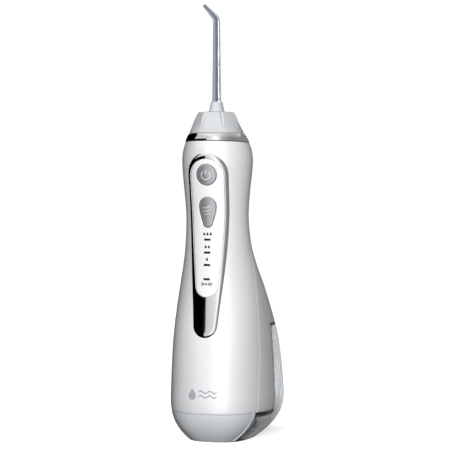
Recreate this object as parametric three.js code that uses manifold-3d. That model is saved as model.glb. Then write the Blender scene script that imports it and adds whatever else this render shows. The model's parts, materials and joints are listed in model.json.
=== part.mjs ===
// Cordless water flosser: a hand-held pump with its own reservoir. Millimetres, +Z up.
// The origin is where the nozzle's axis meets the surface that the flosser stands on, and -Y is the control side.
import * as THREE from "three";
import { mergeVertices } from "three/addons/utils/BufferGeometryUtils.js";
import Module from "manifold-3d";

const wasm = await Module();
wasm.setup();

// ---------- driving dimensions ----------
const WALL = 2.4; // moulded shell wall
const GAP = 0.3; // clearance between touching pieces
const BAND_TOP = 20; // top of the grey base band
const BOWL_TOP = 30; // the base tapers in below this height
const FOOT_SHARE = 0.58; // foot outline over full outline
const BOWL_POWER = 2.7;
const SHELL_TOP = 203.3; // where the shells meet the chrome ring
const RING_TOP = 209.5;
const TANK_TOP = 79; // top of the reservoir
const TANK_FRONT = 20; // front wall plane of the reservoir's tank
const TRAY_TOP = BAND_TOP - 1.3; // the tray hangs a shadow gap below the shell
const TANK_WALL = 1.8;
const SEAM_Y = -6; // parting plane at the band's top ...
const SEAM_LEAN = 0.1; // ... leaning back by this share of the height

// Body outline by height: half width, depth in front of the nozzle's axis, depth behind it.
const BODY = [
  [30, 35.0, 27.0, 71.5],
  [50, 34.2, 25.8, 67.5],
  [68, 33.0, 24.0, 61.5],
  [88, 30.8, 21.0, 50.5],
  [105, 28.2, 19.2, 40.8],
  [120, 25.2, 18.2, 31.5],
  [132, 23.1, 17.5, 25.2],
  [146, 21.9, 17.0, 21.3],
  [158, 21.9, 17.2, 20.0],
  [172, 23.0, 18.8, 21.2],
  [184, 24.1, 20.3, 23.6],
  [192, 24.4, 20.8, 24.4],
  [199, 23.4, 20.4, 23.6],
  [204, 21.6, 19.6, 21.8],
  [210, 18.9, 18.9, 18.9],
];

// ---------- curves ----------
// Smooth value of one column of a table at a height: cubic Hermite with Catmull-Rom slopes.
function smooth(table, z, column) {
  const last = table.length - 1;
  if (z <= table[0][0]) return table[0][column];
  if (z >= table[last][0]) return table[last][column];
  let i = 0;
  while (table[i + 1][0] < z) i += 1;
  const slope = (k) => {
    const a = Math.max(k - 1, 0);
    const b = Math.min(k + 1, last);
    return (table[b][column] - table[a][column]) / (table[b][0] - table[a][0]);
  };
  const span = table[i + 1][0] - table[i][0];
  const t = (z - table[i][0]) / span;
  const ease = t * t * (3 - 2 * t);
  const start = t * (1 - t) * (1 - t) * span * slope(i);
  const end = t * t * (t - 1) * span * slope(i + 1);
  return table[i][column] * (1 - ease) + table[i + 1][column] * ease + start + end;
}

const bowl = (z) => (z < BOWL_TOP ? 1 - (1 - FOOT_SHARE) * (1 - z / BOWL_TOP) ** BOWL_POWER : 1);
const squareness = (z) => 2 + 0.6 * THREE.MathUtils.smoothstep(130 - z, 0, 60);

// A point of the body's outline, moved out by offset.
function bodyPoint(angle, z, offset) {
  const side = smooth(BODY, z, 1) * bowl(z) + offset;
  const front = smooth(BODY, z, 2) * bowl(z) + offset;
  const rear = smooth(BODY, z, 3) * bowl(z) + offset;
  const power = 2 / squareness(z);
  const round = (v) => Math.sign(v) * Math.abs(v) ** power;
  const middle = (rear - front) / 2;
  const x = side * round(Math.cos(angle));
  const y = middle + ((front + rear) / 2) * round(Math.sin(angle));
  return new THREE.Vector3(x, y, z);
}

const seamAt = (z) => SEAM_Y + SEAM_LEAN * (z - BAND_TOP);

// ---------- solids ----------
// A closed geometry through rings of points, each ring listed anticlockwise seen from its end.
function loft(rings) {
  const n = rings[0].length;
  const centre = (ring) =>
    ring.reduce((sum, p) => sum.add(p), new THREE.Vector3()).divideScalar(n);
  const points = [...rings.flat(), centre(rings[0]), centre(rings.at(-1))];
  const index = [];
  for (let r = 0; r < rings.length - 1; r += 1)
    for (let i = 0; i < n; i += 1) {
      const j = (i + 1) % n;
      const [a, b, c, d] = [r * n + i, r * n + j, (r + 1) * n + j, (r + 1) * n + i];
      index.push(a, b, c, a, c, d);
    }
  const top = (rings.length - 1) * n;
  for (let i = 0; i < n; i += 1) {
    const j = (i + 1) % n;
    index.push(rings.length * n, j, i, rings.length * n + 1, top + i, top + j);
  }
  return new THREE.BufferGeometry().setFromPoints(points).setIndex(index);
}

function solid(geometry) {
  const bare = new THREE.BufferGeometry();
  bare.setAttribute("position", geometry.getAttribute("position"));
  if (geometry.index) bare.setIndex(geometry.index);
  const merged = mergeVertices(bare, 1e-4);
  return new wasm.Manifold(
    new wasm.Mesh({
      numProp: 3,
      vertProperties: new Float32Array(merged.attributes.position.array),
      triVerts: new Uint32Array(merged.index.array),
    }),
  );
}

function geometryOf(made) {
  const mesh = made.getMesh();
  const positions = new Float32Array(mesh.numVert * 3);
  for (let i = 0; i < mesh.numVert; i += 1) {
    const start = i * mesh.numProp;
    positions.set(mesh.vertProperties.subarray(start, start + 3), i * 3);
  }
  return new THREE.BufferGeometry()
    .setAttribute("position", new THREE.BufferAttribute(positions, 3))
    .setIndex(new THREE.BufferAttribute(new Uint32Array(mesh.triVerts), 1));
}

const join = (...parts) => parts.reduce((a, b) => a.add(b));
const cut = (whole, ...tools) => tools.reduce((a, b) => a.subtract(b), whole);
const common = (a, b) => a.intersect(b);

// A box between two corners.
function block(x0, y0, z0, x1, y1, z1) {
  const box = new THREE.BoxGeometry(x1 - x0, y1 - y0, z1 - z0);
  return solid(box.translate((x0 + x1) / 2, (y0 + y1) / 2, (z0 + z1) / 2));
}

// A straight rod or cone between two points.
function rod(from, to, radius, sides = 20, endRadius = radius) {
  const a = new THREE.Vector3(...from);
  const b = new THREE.Vector3(...to);
  const made = new THREE.CylinderGeometry(endRadius, radius, a.distanceTo(b), sides);
  const turn = new THREE.Quaternion().setFromUnitVectors(
    new THREE.Vector3(0, 1, 0),
    b.clone().sub(a).normalize(),
  );
  made.applyQuaternion(turn);
  const middle = a.add(b).divideScalar(2);
  return solid(made.translate(middle.x, middle.y, middle.z));
}

// A turned solid on an upright axis at (x, y), from [radius, z] points listed from the bottom of the axis upwards.
function turned(profile, sides = 24, x = 0, y = 0) {
  const points = profile.map(([radius, z]) => new THREE.Vector2(radius, z));
  const made = new THREE.LatheGeometry(points, sides);
  return solid(made.rotateX(Math.PI / 2).translate(x, y, 0));
}

// A round tube or wire along a curve, closed at both ends.
function tubeAlong(curve, radius, steps, sides) {
  const outline = [];
  for (let i = 0; i < sides; i += 1) {
    const angle = (2 * Math.PI * i) / sides;
    outline.push(new THREE.Vector2(radius * Math.cos(angle), radius * Math.sin(angle)));
  }
  return solid(
    new THREE.ExtrudeGeometry(new THREE.Shape(outline), {
      extrudePath: curve,
      steps,
      bevelEnabled: false,
    }),
  );
}

// A shape drawn on X and Z, extruded along Y from y0 to y1.
function plate(shape, y0, y1, curveSegments = 12) {
  const made = new THREE.ExtrudeGeometry(shape, {
    depth: y1 - y0,
    bevelEnabled: false,
    curveSegments,
  });
  return solid(made.rotateX(Math.PI / 2).translate(0, y1, 0));
}

// A polygon of [y, z] points, extruded along X from x0 to x1.
function slab(points, x0 = -90, x1 = 90) {
  const shape = new THREE.Shape(points.map(([y, z]) => new THREE.Vector2(y, z)));
  const made = new THREE.ExtrudeGeometry(shape, { depth: x1 - x0, bevelEnabled: false });
  const axes = [new THREE.Vector3(0, 1, 0), new THREE.Vector3(0, 0, 1), new THREE.Vector3(1, 0, 0)];
  made.applyMatrix4(new THREE.Matrix4().makeBasis(...axes));
  return solid(made.translate(x0, 0, 0));
}

// ---------- the body's outline as solids ----------
const AROUND = 30;
const LEVELS = [0, 3, 8, 17, 30, 50, 70, 90, 107, 122, 137, 154, 170, 184, 195, 203];

function bodySolid(offset, bottom = 0, top = RING_TOP) {
  const heights = [bottom, ...LEVELS.filter((z) => z > bottom + 0.5 && z < top - 0.5), top];
  return solid(
    loft(
      heights.map((z) =>
        Array.from({ length: AROUND }, (_, i) => bodyPoint((2 * Math.PI * i) / AROUND, z, offset)),
      ),
    ),
  );
}

const HIGH = 260;
const frontOf = (shift) =>
  slab([[-90, -10], [seamAt(-10) - shift, -10], [seamAt(HIGH) - shift, HIGH], [-90, HIGH]]);
const behind = (shift) =>
  slab([[seamAt(-10) + shift, -10], [150, -10], [150, HIGH], [seamAt(HIGH) + shift, HIGH]]);

// Everything above a plane that passes z at the axis and leans down to the rear.
const RING_LEAN = THREE.MathUtils.degToRad(3);
const above = (z) => {
  const drop = 90 * Math.tan(RING_LEAN);
  return slab([[-90, z + drop], [90, z - drop], [90, HIGH], [-90, HIGH]]);
};

const half = GAP / 2;
const skin = bodySolid(0);
const hollow = bodySolid(-WALL, 2, 212);

// ---------- control panel outlines, on X and Z ----------
const ARC_STEPS = 10;

// A keyhole-like outline: an arc above, an arc below, and sides through [half width, z] points.
function outline(top, bottom, sides, grow = 0) {
  const arc = (o, start) =>
    Array.from({ length: ARC_STEPS + 1 }, (_, i) => {
      const angle = start + (Math.PI * i) / ARC_STEPS;
      return [(o.radius + grow) * Math.cos(angle), o.z + (o.radius + grow) * Math.sin(angle)];
    });
  const left = sides.map(([x, z]) => [-x - grow, z]);
  const right = sides.map(([x, z]) => [x + grow, z]).reverse();
  const points = [...arc(top, 0), ...left, ...arc(bottom, Math.PI), ...right];
  return new THREE.Shape(points.map(([x, z]) => new THREE.Vector2(x, z)));
}

const BEZEL = {
  top: { z: 181.8, radius: 14.5 },
  bottom: { z: 80.3, radius: 8.8 },
  sides: [[14.1, 157], [13.3, 137], [12.2, 120], [10.9, 104], [9.6, 90]],
};
const INLAY = {
  top: { z: 180.6, radius: 11.7 },
  bottom: { z: 106.8, radius: 7.7 },
  sides: [[11.3, 157], [10.3, 137], [9.0, 121]],
};
const MODE_BUTTON = {
  top: { z: 160.2, radius: 6.1 },
  bottom: { z: 149.3, radius: 3.5 },
  sides: [[5.7, 156.6], [4.6, 152.6]],
};
const POWER_Z = 181.5;
const POWER_RADIUS = 7.1;
const LED_HEIGHTS = { high: 137.6, medium: 128.9, low: 120.5, charge: 110.9 };
const LED_HALF = [2.2, 0.65];
const PANEL_DEPTH = 1.0; // the panel's pieces reach this deep into the shell
const PLATE_FRONT = -60;
const PLATE_BACK = -5;

const outlinePlate = (o, grow, y0 = PLATE_FRONT, y1 = PLATE_BACK) =>
  plate(outline(o.top, o.bottom, o.sides, grow), y0, y1);
const powerHole = rod([0, PLATE_FRONT, POWER_Z], [0, PLATE_BACK, POWER_Z], POWER_RADIUS + GAP, 22);
const modeHole = outlinePlate(MODE_BUTTON, GAP);
const ledHoles = Object.values(LED_HEIGHTS).map((z) =>
  block(-LED_HALF[0] - GAP, PLATE_FRONT, z - LED_HALF[1] - GAP, LED_HALF[0] + GAP, PLATE_BACK, z + LED_HALF[1] + GAP),
);

// ---------- shared places inside ----------
const BOARD = { y0: -9.6, y1: -8.2, x: 8, z0: 98, z1: 188 };
const MOTOR_Z = 48;
const MODULE = 0.6;
const PINION_TEETH = 10;
const GEAR_TEETH = 44;
const GEAR_Z = MOTOR_Z + (MODULE * (PINION_TEETH + GEAR_TEETH)) / 2;
const CRANK = 4; // crank radius, so the pump's stroke is 8
const PLATE_Y = [6.3, 7.9]; // chassis plate
const PUMP_Y = 15.55; // the pump's axis
const CYLINDER = { z0: 88, z1: 116, radius: 6.5, bore: 4.45 };
const HEAD = { z0: 116.3, z1: 130, radius: 6.2 };
const LATCH = { z0: 193.8, z1: 195.2, hole: 5.6 };
const PORT = { x: 18, z: 28 }; // where water leaves the reservoir
const CELL = { x: 20.2, y: -1.5, radius: 7.1, z0: 23.6, z1: 72.4 };
const CHARGE = { y: 41.4, z: 104, lean: THREE.MathUtils.degToRad(29.5), radius: 7.5 };
const CHASSIS_SCREWS = [[-13, 34], [13, 34], [-13, 76.5], [13, 76.5]];
const EJECT = { z: 194.5, x: 6.5, tall: 5 };
const SHANK = 3.05; // nozzle's radius where it enters the handle

const chargeAxis = new THREE.Vector3(0, Math.cos(CHARGE.lean), Math.sin(CHARGE.lean));
const alongCharge = (depth, x = 0) => [
  x,
  CHARGE.y + chargeAxis.y * depth,
  CHARGE.z + chargeAxis.z * depth,
];

// A flat ellipse on X and Z, extruded along Y.
function oval(x, z, halfX, halfZ, y0, y1) {
  const shape = new THREE.Shape();
  shape.absellipse(x, z, halfX, halfZ, 0, 2 * Math.PI);
  return plate(shape, y0, y1, 14);
}

// ---------- casings ----------
function frontShell() {
  const shell = cut(common(cut(skin, above(SHELL_TOP)), frontOf(half)), hollow, block(-60, -60, -5, 60, 60, BAND_TOP + half));
  const pocket = cut(outlinePlate(BEZEL, GAP), bodySolid(-PANEL_DEPTH - GAP, 2, 212));
  return cut(shell, pocket, powerHole, modeHole, ...ledHoles);
}

// Region that the reservoir takes from the outline, grown by grow.
const tankRegion = (grow) =>
  slab([
    [seamAt(0) - 40, -10],
    [150, -10],
    [150, TANK_TOP + grow],
    [TANK_FRONT - grow, TANK_TOP + grow],
    [TANK_FRONT - grow, BAND_TOP + grow],
    [seamAt(0) - 40, BAND_TOP + grow],
  ]);

function rearShell() {
  const outer = cut(common(cut(skin, above(SHELL_TOP)), behind(half)), tankRegion(half));
  const inner = cut(hollow, tankRegion(WALL));
  const bosses = CHASSIS_SCREWS.map(([x, z]) => rod([x, 8.2, z], [x, 18.5, z], 2.5, 12));
  const pilots = CHASSIS_SCREWS.map(([x, z]) => rod([x, 8, z], [x, 15.5, z], 1.55, 10));
  const nippleHole = rod([PORT.x, 12, PORT.z], [PORT.x, 26, PORT.z], 2.1, 16);
  const chargeHole = rod(alongCharge(-8), alongCharge(6), CHARGE.radius + GAP, 24);
  const ejectHole = oval(0, EJECT.z, EJECT.x + GAP, EJECT.tall + GAP, 12, 40);
  return cut(join(cut(outer, inner), ...bosses), ...pilots, nippleHole, chargeHole, ejectHole);
}

function baseCap() {
  const outer = common(cut(skin, block(-60, -60, BAND_TOP - half, 60, 120, HIGH)), frontOf(half));
  return cut(outer, common(bodySolid(-WALL, WALL, 60), frontOf(WALL)));
}

function chromeRing() {
  const outer = common(bodySolid(0, 190, RING_TOP), above(SHELL_TOP + GAP));
  const well = turned([[0, 206.2], [16.4, 206.2], [16.4, 215], [0, 215]], 32);
  const under = common(bodySolid(-WALL, 190, 204.4), above(SHELL_TOP - 3));
  return cut(outer, well, under, rod([0, 0, 190], [0, 0, 220], 7.4, 24));
}

// ---------- control panel ----------
const bezel = () =>
  cut(
    common(outlinePlate(BEZEL, 0), bodySolid(0.9, 2, 212)),
    bodySolid(-PANEL_DEPTH, 2, 212),
    outlinePlate(INLAY, GAP),
  );
const inlay = () =>
  cut(
    common(outlinePlate(INLAY, 0), bodySolid(0.2, 2, 212)),
    bodySolid(-PANEL_DEPTH, 2, 212),
    powerHole,
    modeHole,
    ...ledHoles,
  );
function powerButton() {
  const cap = common(rod([0, -30, POWER_Z], [0, -15.4, POWER_Z], POWER_RADIUS, 22), bodySolid(1.0, 100, 212));
  return join(cap, rod([0, -15.6, POWER_Z], [0, -14.7, POWER_Z], POWER_RADIUS + 1, 22));
}
function modeButton() {
  const cap = common(outlinePlate(MODE_BUTTON, 0, -30, -12.8), bodySolid(1.0, 100, 212));
  return join(cap, outlinePlate(MODE_BUTTON, 0.9, -13.0, -12.2));
}
const ledWindow = (z) =>
  common(
    block(-LED_HALF[0], -40, z - LED_HALF[1], LED_HALF[0], BOARD.y0 - GAP, z + LED_HALF[1]),
    bodySolid(0.3, 60, 212),
  );

// ---------- nozzle and rotation collar ----------
const LOBES = 7;
const PER_LOBE = 6;
const COLLAR = { z0: RING_TOP + GAP, z1: 224, bottom: 18.6, top: 12.7, groove: 2.6 };
function rotationCollar() {
  const around = LOBES * PER_LOBE;
  const ring = (z) => {
    const up = (z - COLLAR.z0) / (COLLAR.z1 - COLLAR.z0);
    const radius = THREE.MathUtils.lerp(COLLAR.bottom, COLLAR.top, up) + 0.8 * Math.sin(Math.PI * up);
    return Array.from({ length: around }, (_, i) => {
      const inGroove = i % PER_LOBE === 0 ? 1 : 0;
      const r = radius - COLLAR.groove * inGroove * THREE.MathUtils.smoothstep(up, 0.08, 1);
      const angle = (2 * Math.PI * i) / around;
      return new THREE.Vector3(r * Math.cos(angle), r * Math.sin(angle), z);
    });
  };
  const outer = solid(loft([0, 0.3, 0.6, 0.93, 1].map((t) => ring(THREE.MathUtils.lerp(COLLAR.z0, COLLAR.z1, t)))));
  const under = turned([[0, 200], [15.6, 200], [15.6, 211], [9.4, 221.4], [0, 221.4]], 28);
  return cut(outer, under, rod([0, 0, 215], [0, 0, 230], 7.3, 24));
}

const HUB = { flange: 9.2, radius: 7.0, bore: SHANK + 0.35, top: 231.2, tipTop: 4.0 };
const tipHub = () =>
  turned(
    [
      [HUB.bore, 200.6],
      [HUB.flange, 200.6],
      [HUB.flange, 202.3],
      [HUB.radius, 202.3],
      [HUB.radius, COLLAR.z1 - 0.4],
      [5.9, COLLAR.z1],
      [5.0, COLLAR.z1 + 1.6],
      [4.5, COLLAR.z1 + 4],
      [HUB.tipTop, HUB.top],
      [HUB.bore, HUB.top],
      [HUB.bore, 200.6],
    ],
    18,
  );

// The nozzle's bent path: straight up, round the bend, and out along the tip.
const NOZZLE = { bottom: 182.6, bend: 285.5, bendRadius: 5.5, turn: THREE.MathUtils.degToRad(43), tip: 10.6 };
const NOZZLE_HEADING = THREE.MathUtils.degToRad(205); // the way that the tip points, from +X
function nozzleStations() {
  const out = new THREE.Vector3(Math.cos(NOZZLE_HEADING), Math.sin(NOZZLE_HEADING), 0);
  const at = (side, z, lean, radius) => ({ side, z, lean, radius, out });
  const stations = [at(0, NOZZLE.bottom, 0, 2.7), at(0, NOZZLE.bottom + 0.6, 0, SHANK), at(0, 231, 0, SHANK), at(0, 262, 0, 2.65), at(0, NOZZLE.bend, 0, 2.4)];
  const bendSteps = 5;
  for (let i = 1; i <= bendSteps; i += 1) {
    const lean = (NOZZLE.turn * i) / bendSteps;
    const side = NOZZLE.bendRadius * (1 - Math.cos(lean));
    const z = NOZZLE.bend + NOZZLE.bendRadius * Math.sin(lean);
    stations.push(at(side, z, lean, 2.4 - 0.06 * i));
  }
  const last = stations.at(-1);
  stations.push(
    at(last.side + NOZZLE.tip * Math.sin(NOZZLE.turn), last.z + NOZZLE.tip * Math.cos(NOZZLE.turn), NOZZLE.turn, 1.15),
  );
  return stations;
}
const stationRing = (s, radius, sides) =>
  Array.from({ length: sides }, (_, i) => {
    const angle = (2 * Math.PI * i) / sides;
    const across = new THREE.Vector3(-s.out.y, s.out.x, 0);
    const along = s.out.clone().multiplyScalar(Math.cos(s.lean)).setZ(-Math.sin(s.lean));
    const middle = s.out.clone().multiplyScalar(s.side).setZ(s.z);
    return middle
      .addScaledVector(along, radius * Math.cos(angle))
      .addScaledVector(across, radius * Math.sin(angle));
  });
function nozzleTip() {
  const stations = nozzleStations();
  const first = stations[0];
  const last = stations.at(-1);
  const past = (s, d) => ({ ...s, side: s.side + d * Math.sin(s.lean), z: s.z + d * Math.cos(s.lean) });
  const bore = [past(first, -1), ...stations.slice(3), past(last, 1)];
  const channel = bore.map((s) => stationRing(s, s === bore.at(-1) ? 0.5 : 0.8, 6));
  return cut(solid(loft(stations.map((s) => stationRing(s, s.radius, 16)))), solid(loft(channel)));
}

const tipSocket = () =>
  cut(
    turned([[0, 174], [1.7, 174], [1.7, 178], [6, 178], [6, 193.4], [0, 193.4]], 18),
    turned([[0, 170], [0.8, 170], [0.8, 181.4], [3.4, 182.2], [3.4, 187], [5, 187], [5, 190.2], [3.4, 190.2], [3.4, 196], [0, 196]], 18),
  );
const ringOf = (radius, wire, z, x = 0, y = 0, sides = 18) => {
  const profile = Array.from({ length: 7 }, (_, i) => {
    const angle = (2 * Math.PI * (i % 6)) / 6;
    return [radius + wire * Math.cos(angle), z + wire * Math.sin(angle)];
  });
  return turned(profile, sides, x, y);
};
const latchPlate = () =>
  cut(block(-7.5, -7.6, LATCH.z0, 7.5, 18.3, LATCH.z1), rod([0, 0, 190], [0, 0, 199], LATCH.hole, 24));
function ejectButton() {
  const cap = common(oval(0, EJECT.z, EJECT.x, EJECT.tall, 18.8, 40), bodySolid(1.0, 100, 212));
  return join(cap, oval(0, EJECT.z, EJECT.x + 1.3, EJECT.tall + 1.3, 18.6, 19.8));
}
class Helix extends THREE.Curve {
  constructor(radius, turns, y0, y1, z) {
    super();
    Object.assign(this, { radius, turns, y0, y1, z });
  }
  getPoint(t, target = new THREE.Vector3()) {
    const angle = 2 * Math.PI * this.turns * t;
    const y = THREE.MathUtils.lerp(this.y0, this.y1, t);
    return target.set(this.radius * Math.cos(angle), y, this.z + this.radius * Math.sin(angle));
  }
}
const ejectSpring = () => tubeAlong(new Helix(2.1, 5, 6.9, 17.9, 190.6), 0.32, 45, 5);

// ---------- charging port ----------
const chargePort = () =>
  cut(
    rod(alongCharge(-4), alongCharge(0.5), CHARGE.radius, 24),
    ...[-3.2, 3.2].map((x) => rod(alongCharge(-6, x), alongCharge(3, x), 1.5, 12)),
  );
const chargeContact = (x) => rod(alongCharge(-5, x), alongCharge(0.3, x), 1.2, 12);

// ---------- reservoir ----------
const DOOR = { x: 13, z0: 50, z1: 72 };
const HINGE = { y: 69.5, z: 48.6, knuckle: 2.3, hole: 1.3, pin: 1.0, end: 12 };
const KNUCKLES = [[-9, -3], [3, 9]];
const LUGS = [[-HINGE.end, -9.3], [-2.7, 2.7], [9.3, HINGE.end]];
const onHinge = (x0, x1, radius) => rod([x0, HINGE.y, HINGE.z], [x1, HINGE.y, HINGE.z], radius, 16);

const tankOutline = (inset) =>
  slab([
    [seamAt(inset) + half + inset, inset - (inset ? 0 : 1)],
    [150, inset - (inset ? 0 : 1)],
    [150, TANK_TOP - half - inset],
    [TANK_FRONT + half + inset, TANK_TOP - half - inset],
    [TANK_FRONT + half + inset, TRAY_TOP - inset],
    [seamAt(TRAY_TOP) + half + inset, TRAY_TOP - inset],
  ]);

function reservoir() {
  const outer = common(skin, tankOutline(0));
  const inner = common(bodySolid(-TANK_WALL, 1, 100), tankOutline(TANK_WALL));
  const lugs = LUGS.map(([x0, x1]) => onHinge(x0, x1, HINGE.knuckle));
  const webs = LUGS.map(([x0, x1]) => block(x0, 66.3, 46.4, x1, HINGE.y, 48.6));
  const clearances = KNUCKLES.map(([x0, x1]) => onHinge(x0 - GAP, x1 + GAP, HINGE.knuckle + GAP));
  return cut(
    join(cut(outer, inner), ...cutAll([...lugs, ...webs], bodySolid(-TANK_WALL, 1, 100))),
    ...clearances,
    onHinge(-20, 20, HINGE.hole),
    block(-DOOR.x, 45, DOOR.z0, DOOR.x, 90, DOOR.z1),
    rod([PORT.x, 15, PORT.z], [PORT.x, 24, PORT.z], 3.4, 18),
  );
}
const cutAll = (parts, tool) => parts.map((p) => cut(p, tool));

const doorRegion = (inset) =>
  block(-DOOR.x + inset, 45, DOOR.z0 + inset, DOOR.x - inset, 90, DOOR.z1 - inset);
function fillDoor() {
  const panel = common(cut(skin, bodySolid(-TANK_WALL, 1, 100)), doorRegion(GAP));
  const knuckles = KNUCKLES.map(([x0, x1]) => onHinge(x0, x1, HINGE.knuckle));
  const arms = KNUCKLES.map(([x0, x1]) => block(x0, 66.2, DOOR.z0 + 0.35, x1, HINGE.y, 51.8));
  return cut(join(panel, ...knuckles, ...arms), onHinge(-20, 20, HINGE.hole));
}
const doorGasket = () =>
  cut(
    common(cut(bodySolid(-TANK_WALL - GAP, 1, 100), bodySolid(-TANK_WALL - 1.3, 1, 100)), doorRegion(1.4)),
    doorRegion(3),
  );
const portSeal = () =>
  cut(rod([PORT.x, 20.4, PORT.z], [PORT.x, 21.8, PORT.z], 3.1, 18), rod([PORT.x, 18, PORT.z], [PORT.x, 24, PORT.z], 2.1, 18));
const pickupElbow = () =>
  cut(
    join(rod([PORT.x, 22.2, PORT.z], [PORT.x, 28, PORT.z], 3, 16), rod([PORT.x, 26, 4.5], [PORT.x, 26, PORT.z], 2.2, 14)),
    rod([PORT.x, 20, PORT.z], [PORT.x, 26, PORT.z], 2.1, 14),
    rod([PORT.x, 26, 2], [PORT.x, 26, PORT.z], 1.2, 10),
  );
const inletNipple = () =>
  cut(rod([PORT.x, 13.6, PORT.z], [PORT.x, 23, PORT.z], 1.8, 14), rod([PORT.x, 10, PORT.z], [PORT.x, 26, PORT.z], 0.9, 8));

// ---------- pump and drive ----------
// A spur gear on X and Z about (0, z), with a tooth or a gap facing upwards.
function gear(teeth, z, y0, y1, bore, firstTooth) {
  const pitch = (MODULE * teeth) / 2;
  const shape = new THREE.Shape();
  const corners = [[-0.6, pitch - 0.75], [-0.12, pitch + 0.5], [0.12, pitch + 0.5], [0.6, pitch - 0.75]];
  for (let k = 0; k < teeth; k += 1) {
    const middle = firstTooth + (2 * Math.PI * k) / teeth;
    corners.forEach(([across, radius], n) => {
      const angle = middle + across / pitch;
      const move = k === 0 && n === 0 ? "moveTo" : "lineTo";
      shape[move](radius * Math.cos(angle), z + radius * Math.sin(angle));
    });
  }
  return cut(plate(shape, y0, y1), rod([0, y0 - 1, z], [0, y1 + 1, z], bore, 14));
}
const driveGear = () =>
  join(
    gear(GEAR_TEETH, GEAR_Z, 8.4, 12.4, 1.85, -Math.PI / 2 + Math.PI / GEAR_TEETH),
    rod([0, 12, GEAR_Z - CRANK], [0, 14, GEAR_Z - CRANK], 1.6, 14),
  );
const pinion = () => gear(PINION_TEETH, MOTOR_Z, 8.3, 13, 1.45, Math.PI / 2);
const gearAxle = () => rod([0, 5, GEAR_Z], [0, 13.2, GEAR_Z], 1.5, 14);
const motorShaft = () => rod([0, -12, MOTOR_Z], [0, 13.4, MOTOR_Z], 1.15, 12);
const motorCan = () =>
  cut(
    join(rod([0, -14.7, MOTOR_Z], [0, 4.6, MOTOR_Z], 12, 28), rod([0, 4, MOTOR_Z], [0, 6, MOTOR_Z], 4, 16)),
    rod([0, -12.5, MOTOR_Z], [0, 8, MOTOR_Z], 1.45, 12),
  );
const motorEndCap = () => rod([0, -17.5, MOTOR_Z], [0, -15, MOTOR_Z], 11.4, 24);

function chassis() {
  const face = block(-15.5, PLATE_Y[0], 30, 15.5, PLATE_Y[1], 110);
  const saddle = cut(
    block(-8.5, 7, 98, 8.5, PUMP_Y, 102),
    rod([0, PUMP_Y, 90], [0, PUMP_Y, 110], CYLINDER.radius + GAP, 24),
  );
  return cut(
    join(face, saddle),
    rod([0, 0, MOTOR_Z], [0, 20, MOTOR_Z], 4.3, 16),
    rod([0, 0, GEAR_Z], [0, 20, GEAR_Z], 1.8, 14),
    ...CHASSIS_SCREWS.map(([x, z]) => rod([x, 0, z], [x, 9, z], 1.6, 10)),
  );
}
const chassisScrew = ([x, z]) => join(rod([x, 4.6, z], [x, 6, z], 2.2, 12), rod([x, 5.5, z], [x, 14.6, z], 1.25, 10));

const pumpCylinder = () =>
  cut(
    rod([0, PUMP_Y, CYLINDER.z0], [0, PUMP_Y, CYLINDER.z1], CYLINDER.radius, 24),
    rod([0, PUMP_Y, CYLINDER.z0 - 2], [0, PUMP_Y, CYLINDER.z1 + 2], CYLINDER.bore, 20),
  );
const PISTON = { z0: 92, z1: 104, radius: 3.95, pinZ: 95.5 };
const piston = () =>
  cut(
    rod([0, PUMP_Y, PISTON.z0], [0, PUMP_Y, PISTON.z1], PISTON.radius, 20),
    block(-2.5, PUMP_Y - 1.6, PISTON.z0 - 1, 2.5, PUMP_Y + 1.6, 99),
    rod([-6, PUMP_Y, PISTON.pinZ], [6, PUMP_Y, PISTON.pinZ], 1.1, 10),
    turned([[3.1, 100.4], [5, 100.4], [5, 102.6], [3.1, 102.6], [3.1, 100.4]], 20, 0, PUMP_Y),
  );
const pistonSeal = () => ringOf(3.75, 0.35, 101.5, 0, PUMP_Y);
const wristPin = () => rod([-3.5, PUMP_Y, PISTON.pinZ], [3.5, PUMP_Y, PISTON.pinZ], 0.8, 10);
const connectingRod = () =>
  cut(
    join(
      rod([0, 14.3, GEAR_Z - CRANK], [0, 16.8, GEAR_Z - CRANK], 3.2, 18),
      block(-2, 14.3, GEAR_Z - CRANK + 2.4, 2, 16.8, 97.5),
    ),
    rod([0, 13, GEAR_Z - CRANK], [0, 18, GEAR_Z - CRANK], 1.9, 14),
    rod([-6, PUMP_Y, PISTON.pinZ], [6, PUMP_Y, PISTON.pinZ], 1.1, 10),
  );

// The valve block above the cylinder: inlet from the side, outlet through the top.
const INLET_Z = 121;
const pumpHead = () =>
  cut(
    join(
      rod([0, PUMP_Y, HEAD.z0], [0, PUMP_Y, HEAD.z1], HEAD.radius, 24),
      rod([4, PUMP_Y, INLET_Z], [9.4, PUMP_Y, INLET_Z], 1.6, 14),
      rod([0, PUMP_Y, HEAD.z1 - 1], [0, PUMP_Y, HEAD.z1 + 3.5], 1.6, 14),
    ),
    rod([0, PUMP_Y, HEAD.z0 - 1], [0, PUMP_Y, 122.6], 2.6, 16),
    rod([0, PUMP_Y, 122], [0, PUMP_Y, 140], 0.9, 10),
    rod([0, PUMP_Y, 124.4], [0, PUMP_Y, 129], 2.2, 16),
    rod([0, PUMP_Y, INLET_Z], [12, PUMP_Y, INLET_Z], 0.9, 10),
  );
const outletBall = () => solid(new THREE.SphereGeometry(1.6, 12, 7).translate(0, PUMP_Y, 126.05));
const inletDisc = () => rod([0, PUMP_Y, 117.2], [0, PUMP_Y, 118.2], 2.2, 14);
const through = (...points) => new THREE.CatmullRomCurve3(points.map((p) => new THREE.Vector3(...p)));
const inletHose = () =>
  tubeAlong(
    through(
      [PORT.x, 13.2, PORT.z],
      [PORT.x, 12.6, PORT.z],
      [PORT.x, 10.6, PORT.z + 4],
      [18.3, 11.5, 62],
      [17.6, 14, 92],
      [16, 15.4, 113],
      [11, PUMP_Y, INLET_Z],
      [9.9, PUMP_Y, INLET_Z],
    ),
    1.9,
    22,
    7,
  );
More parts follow.
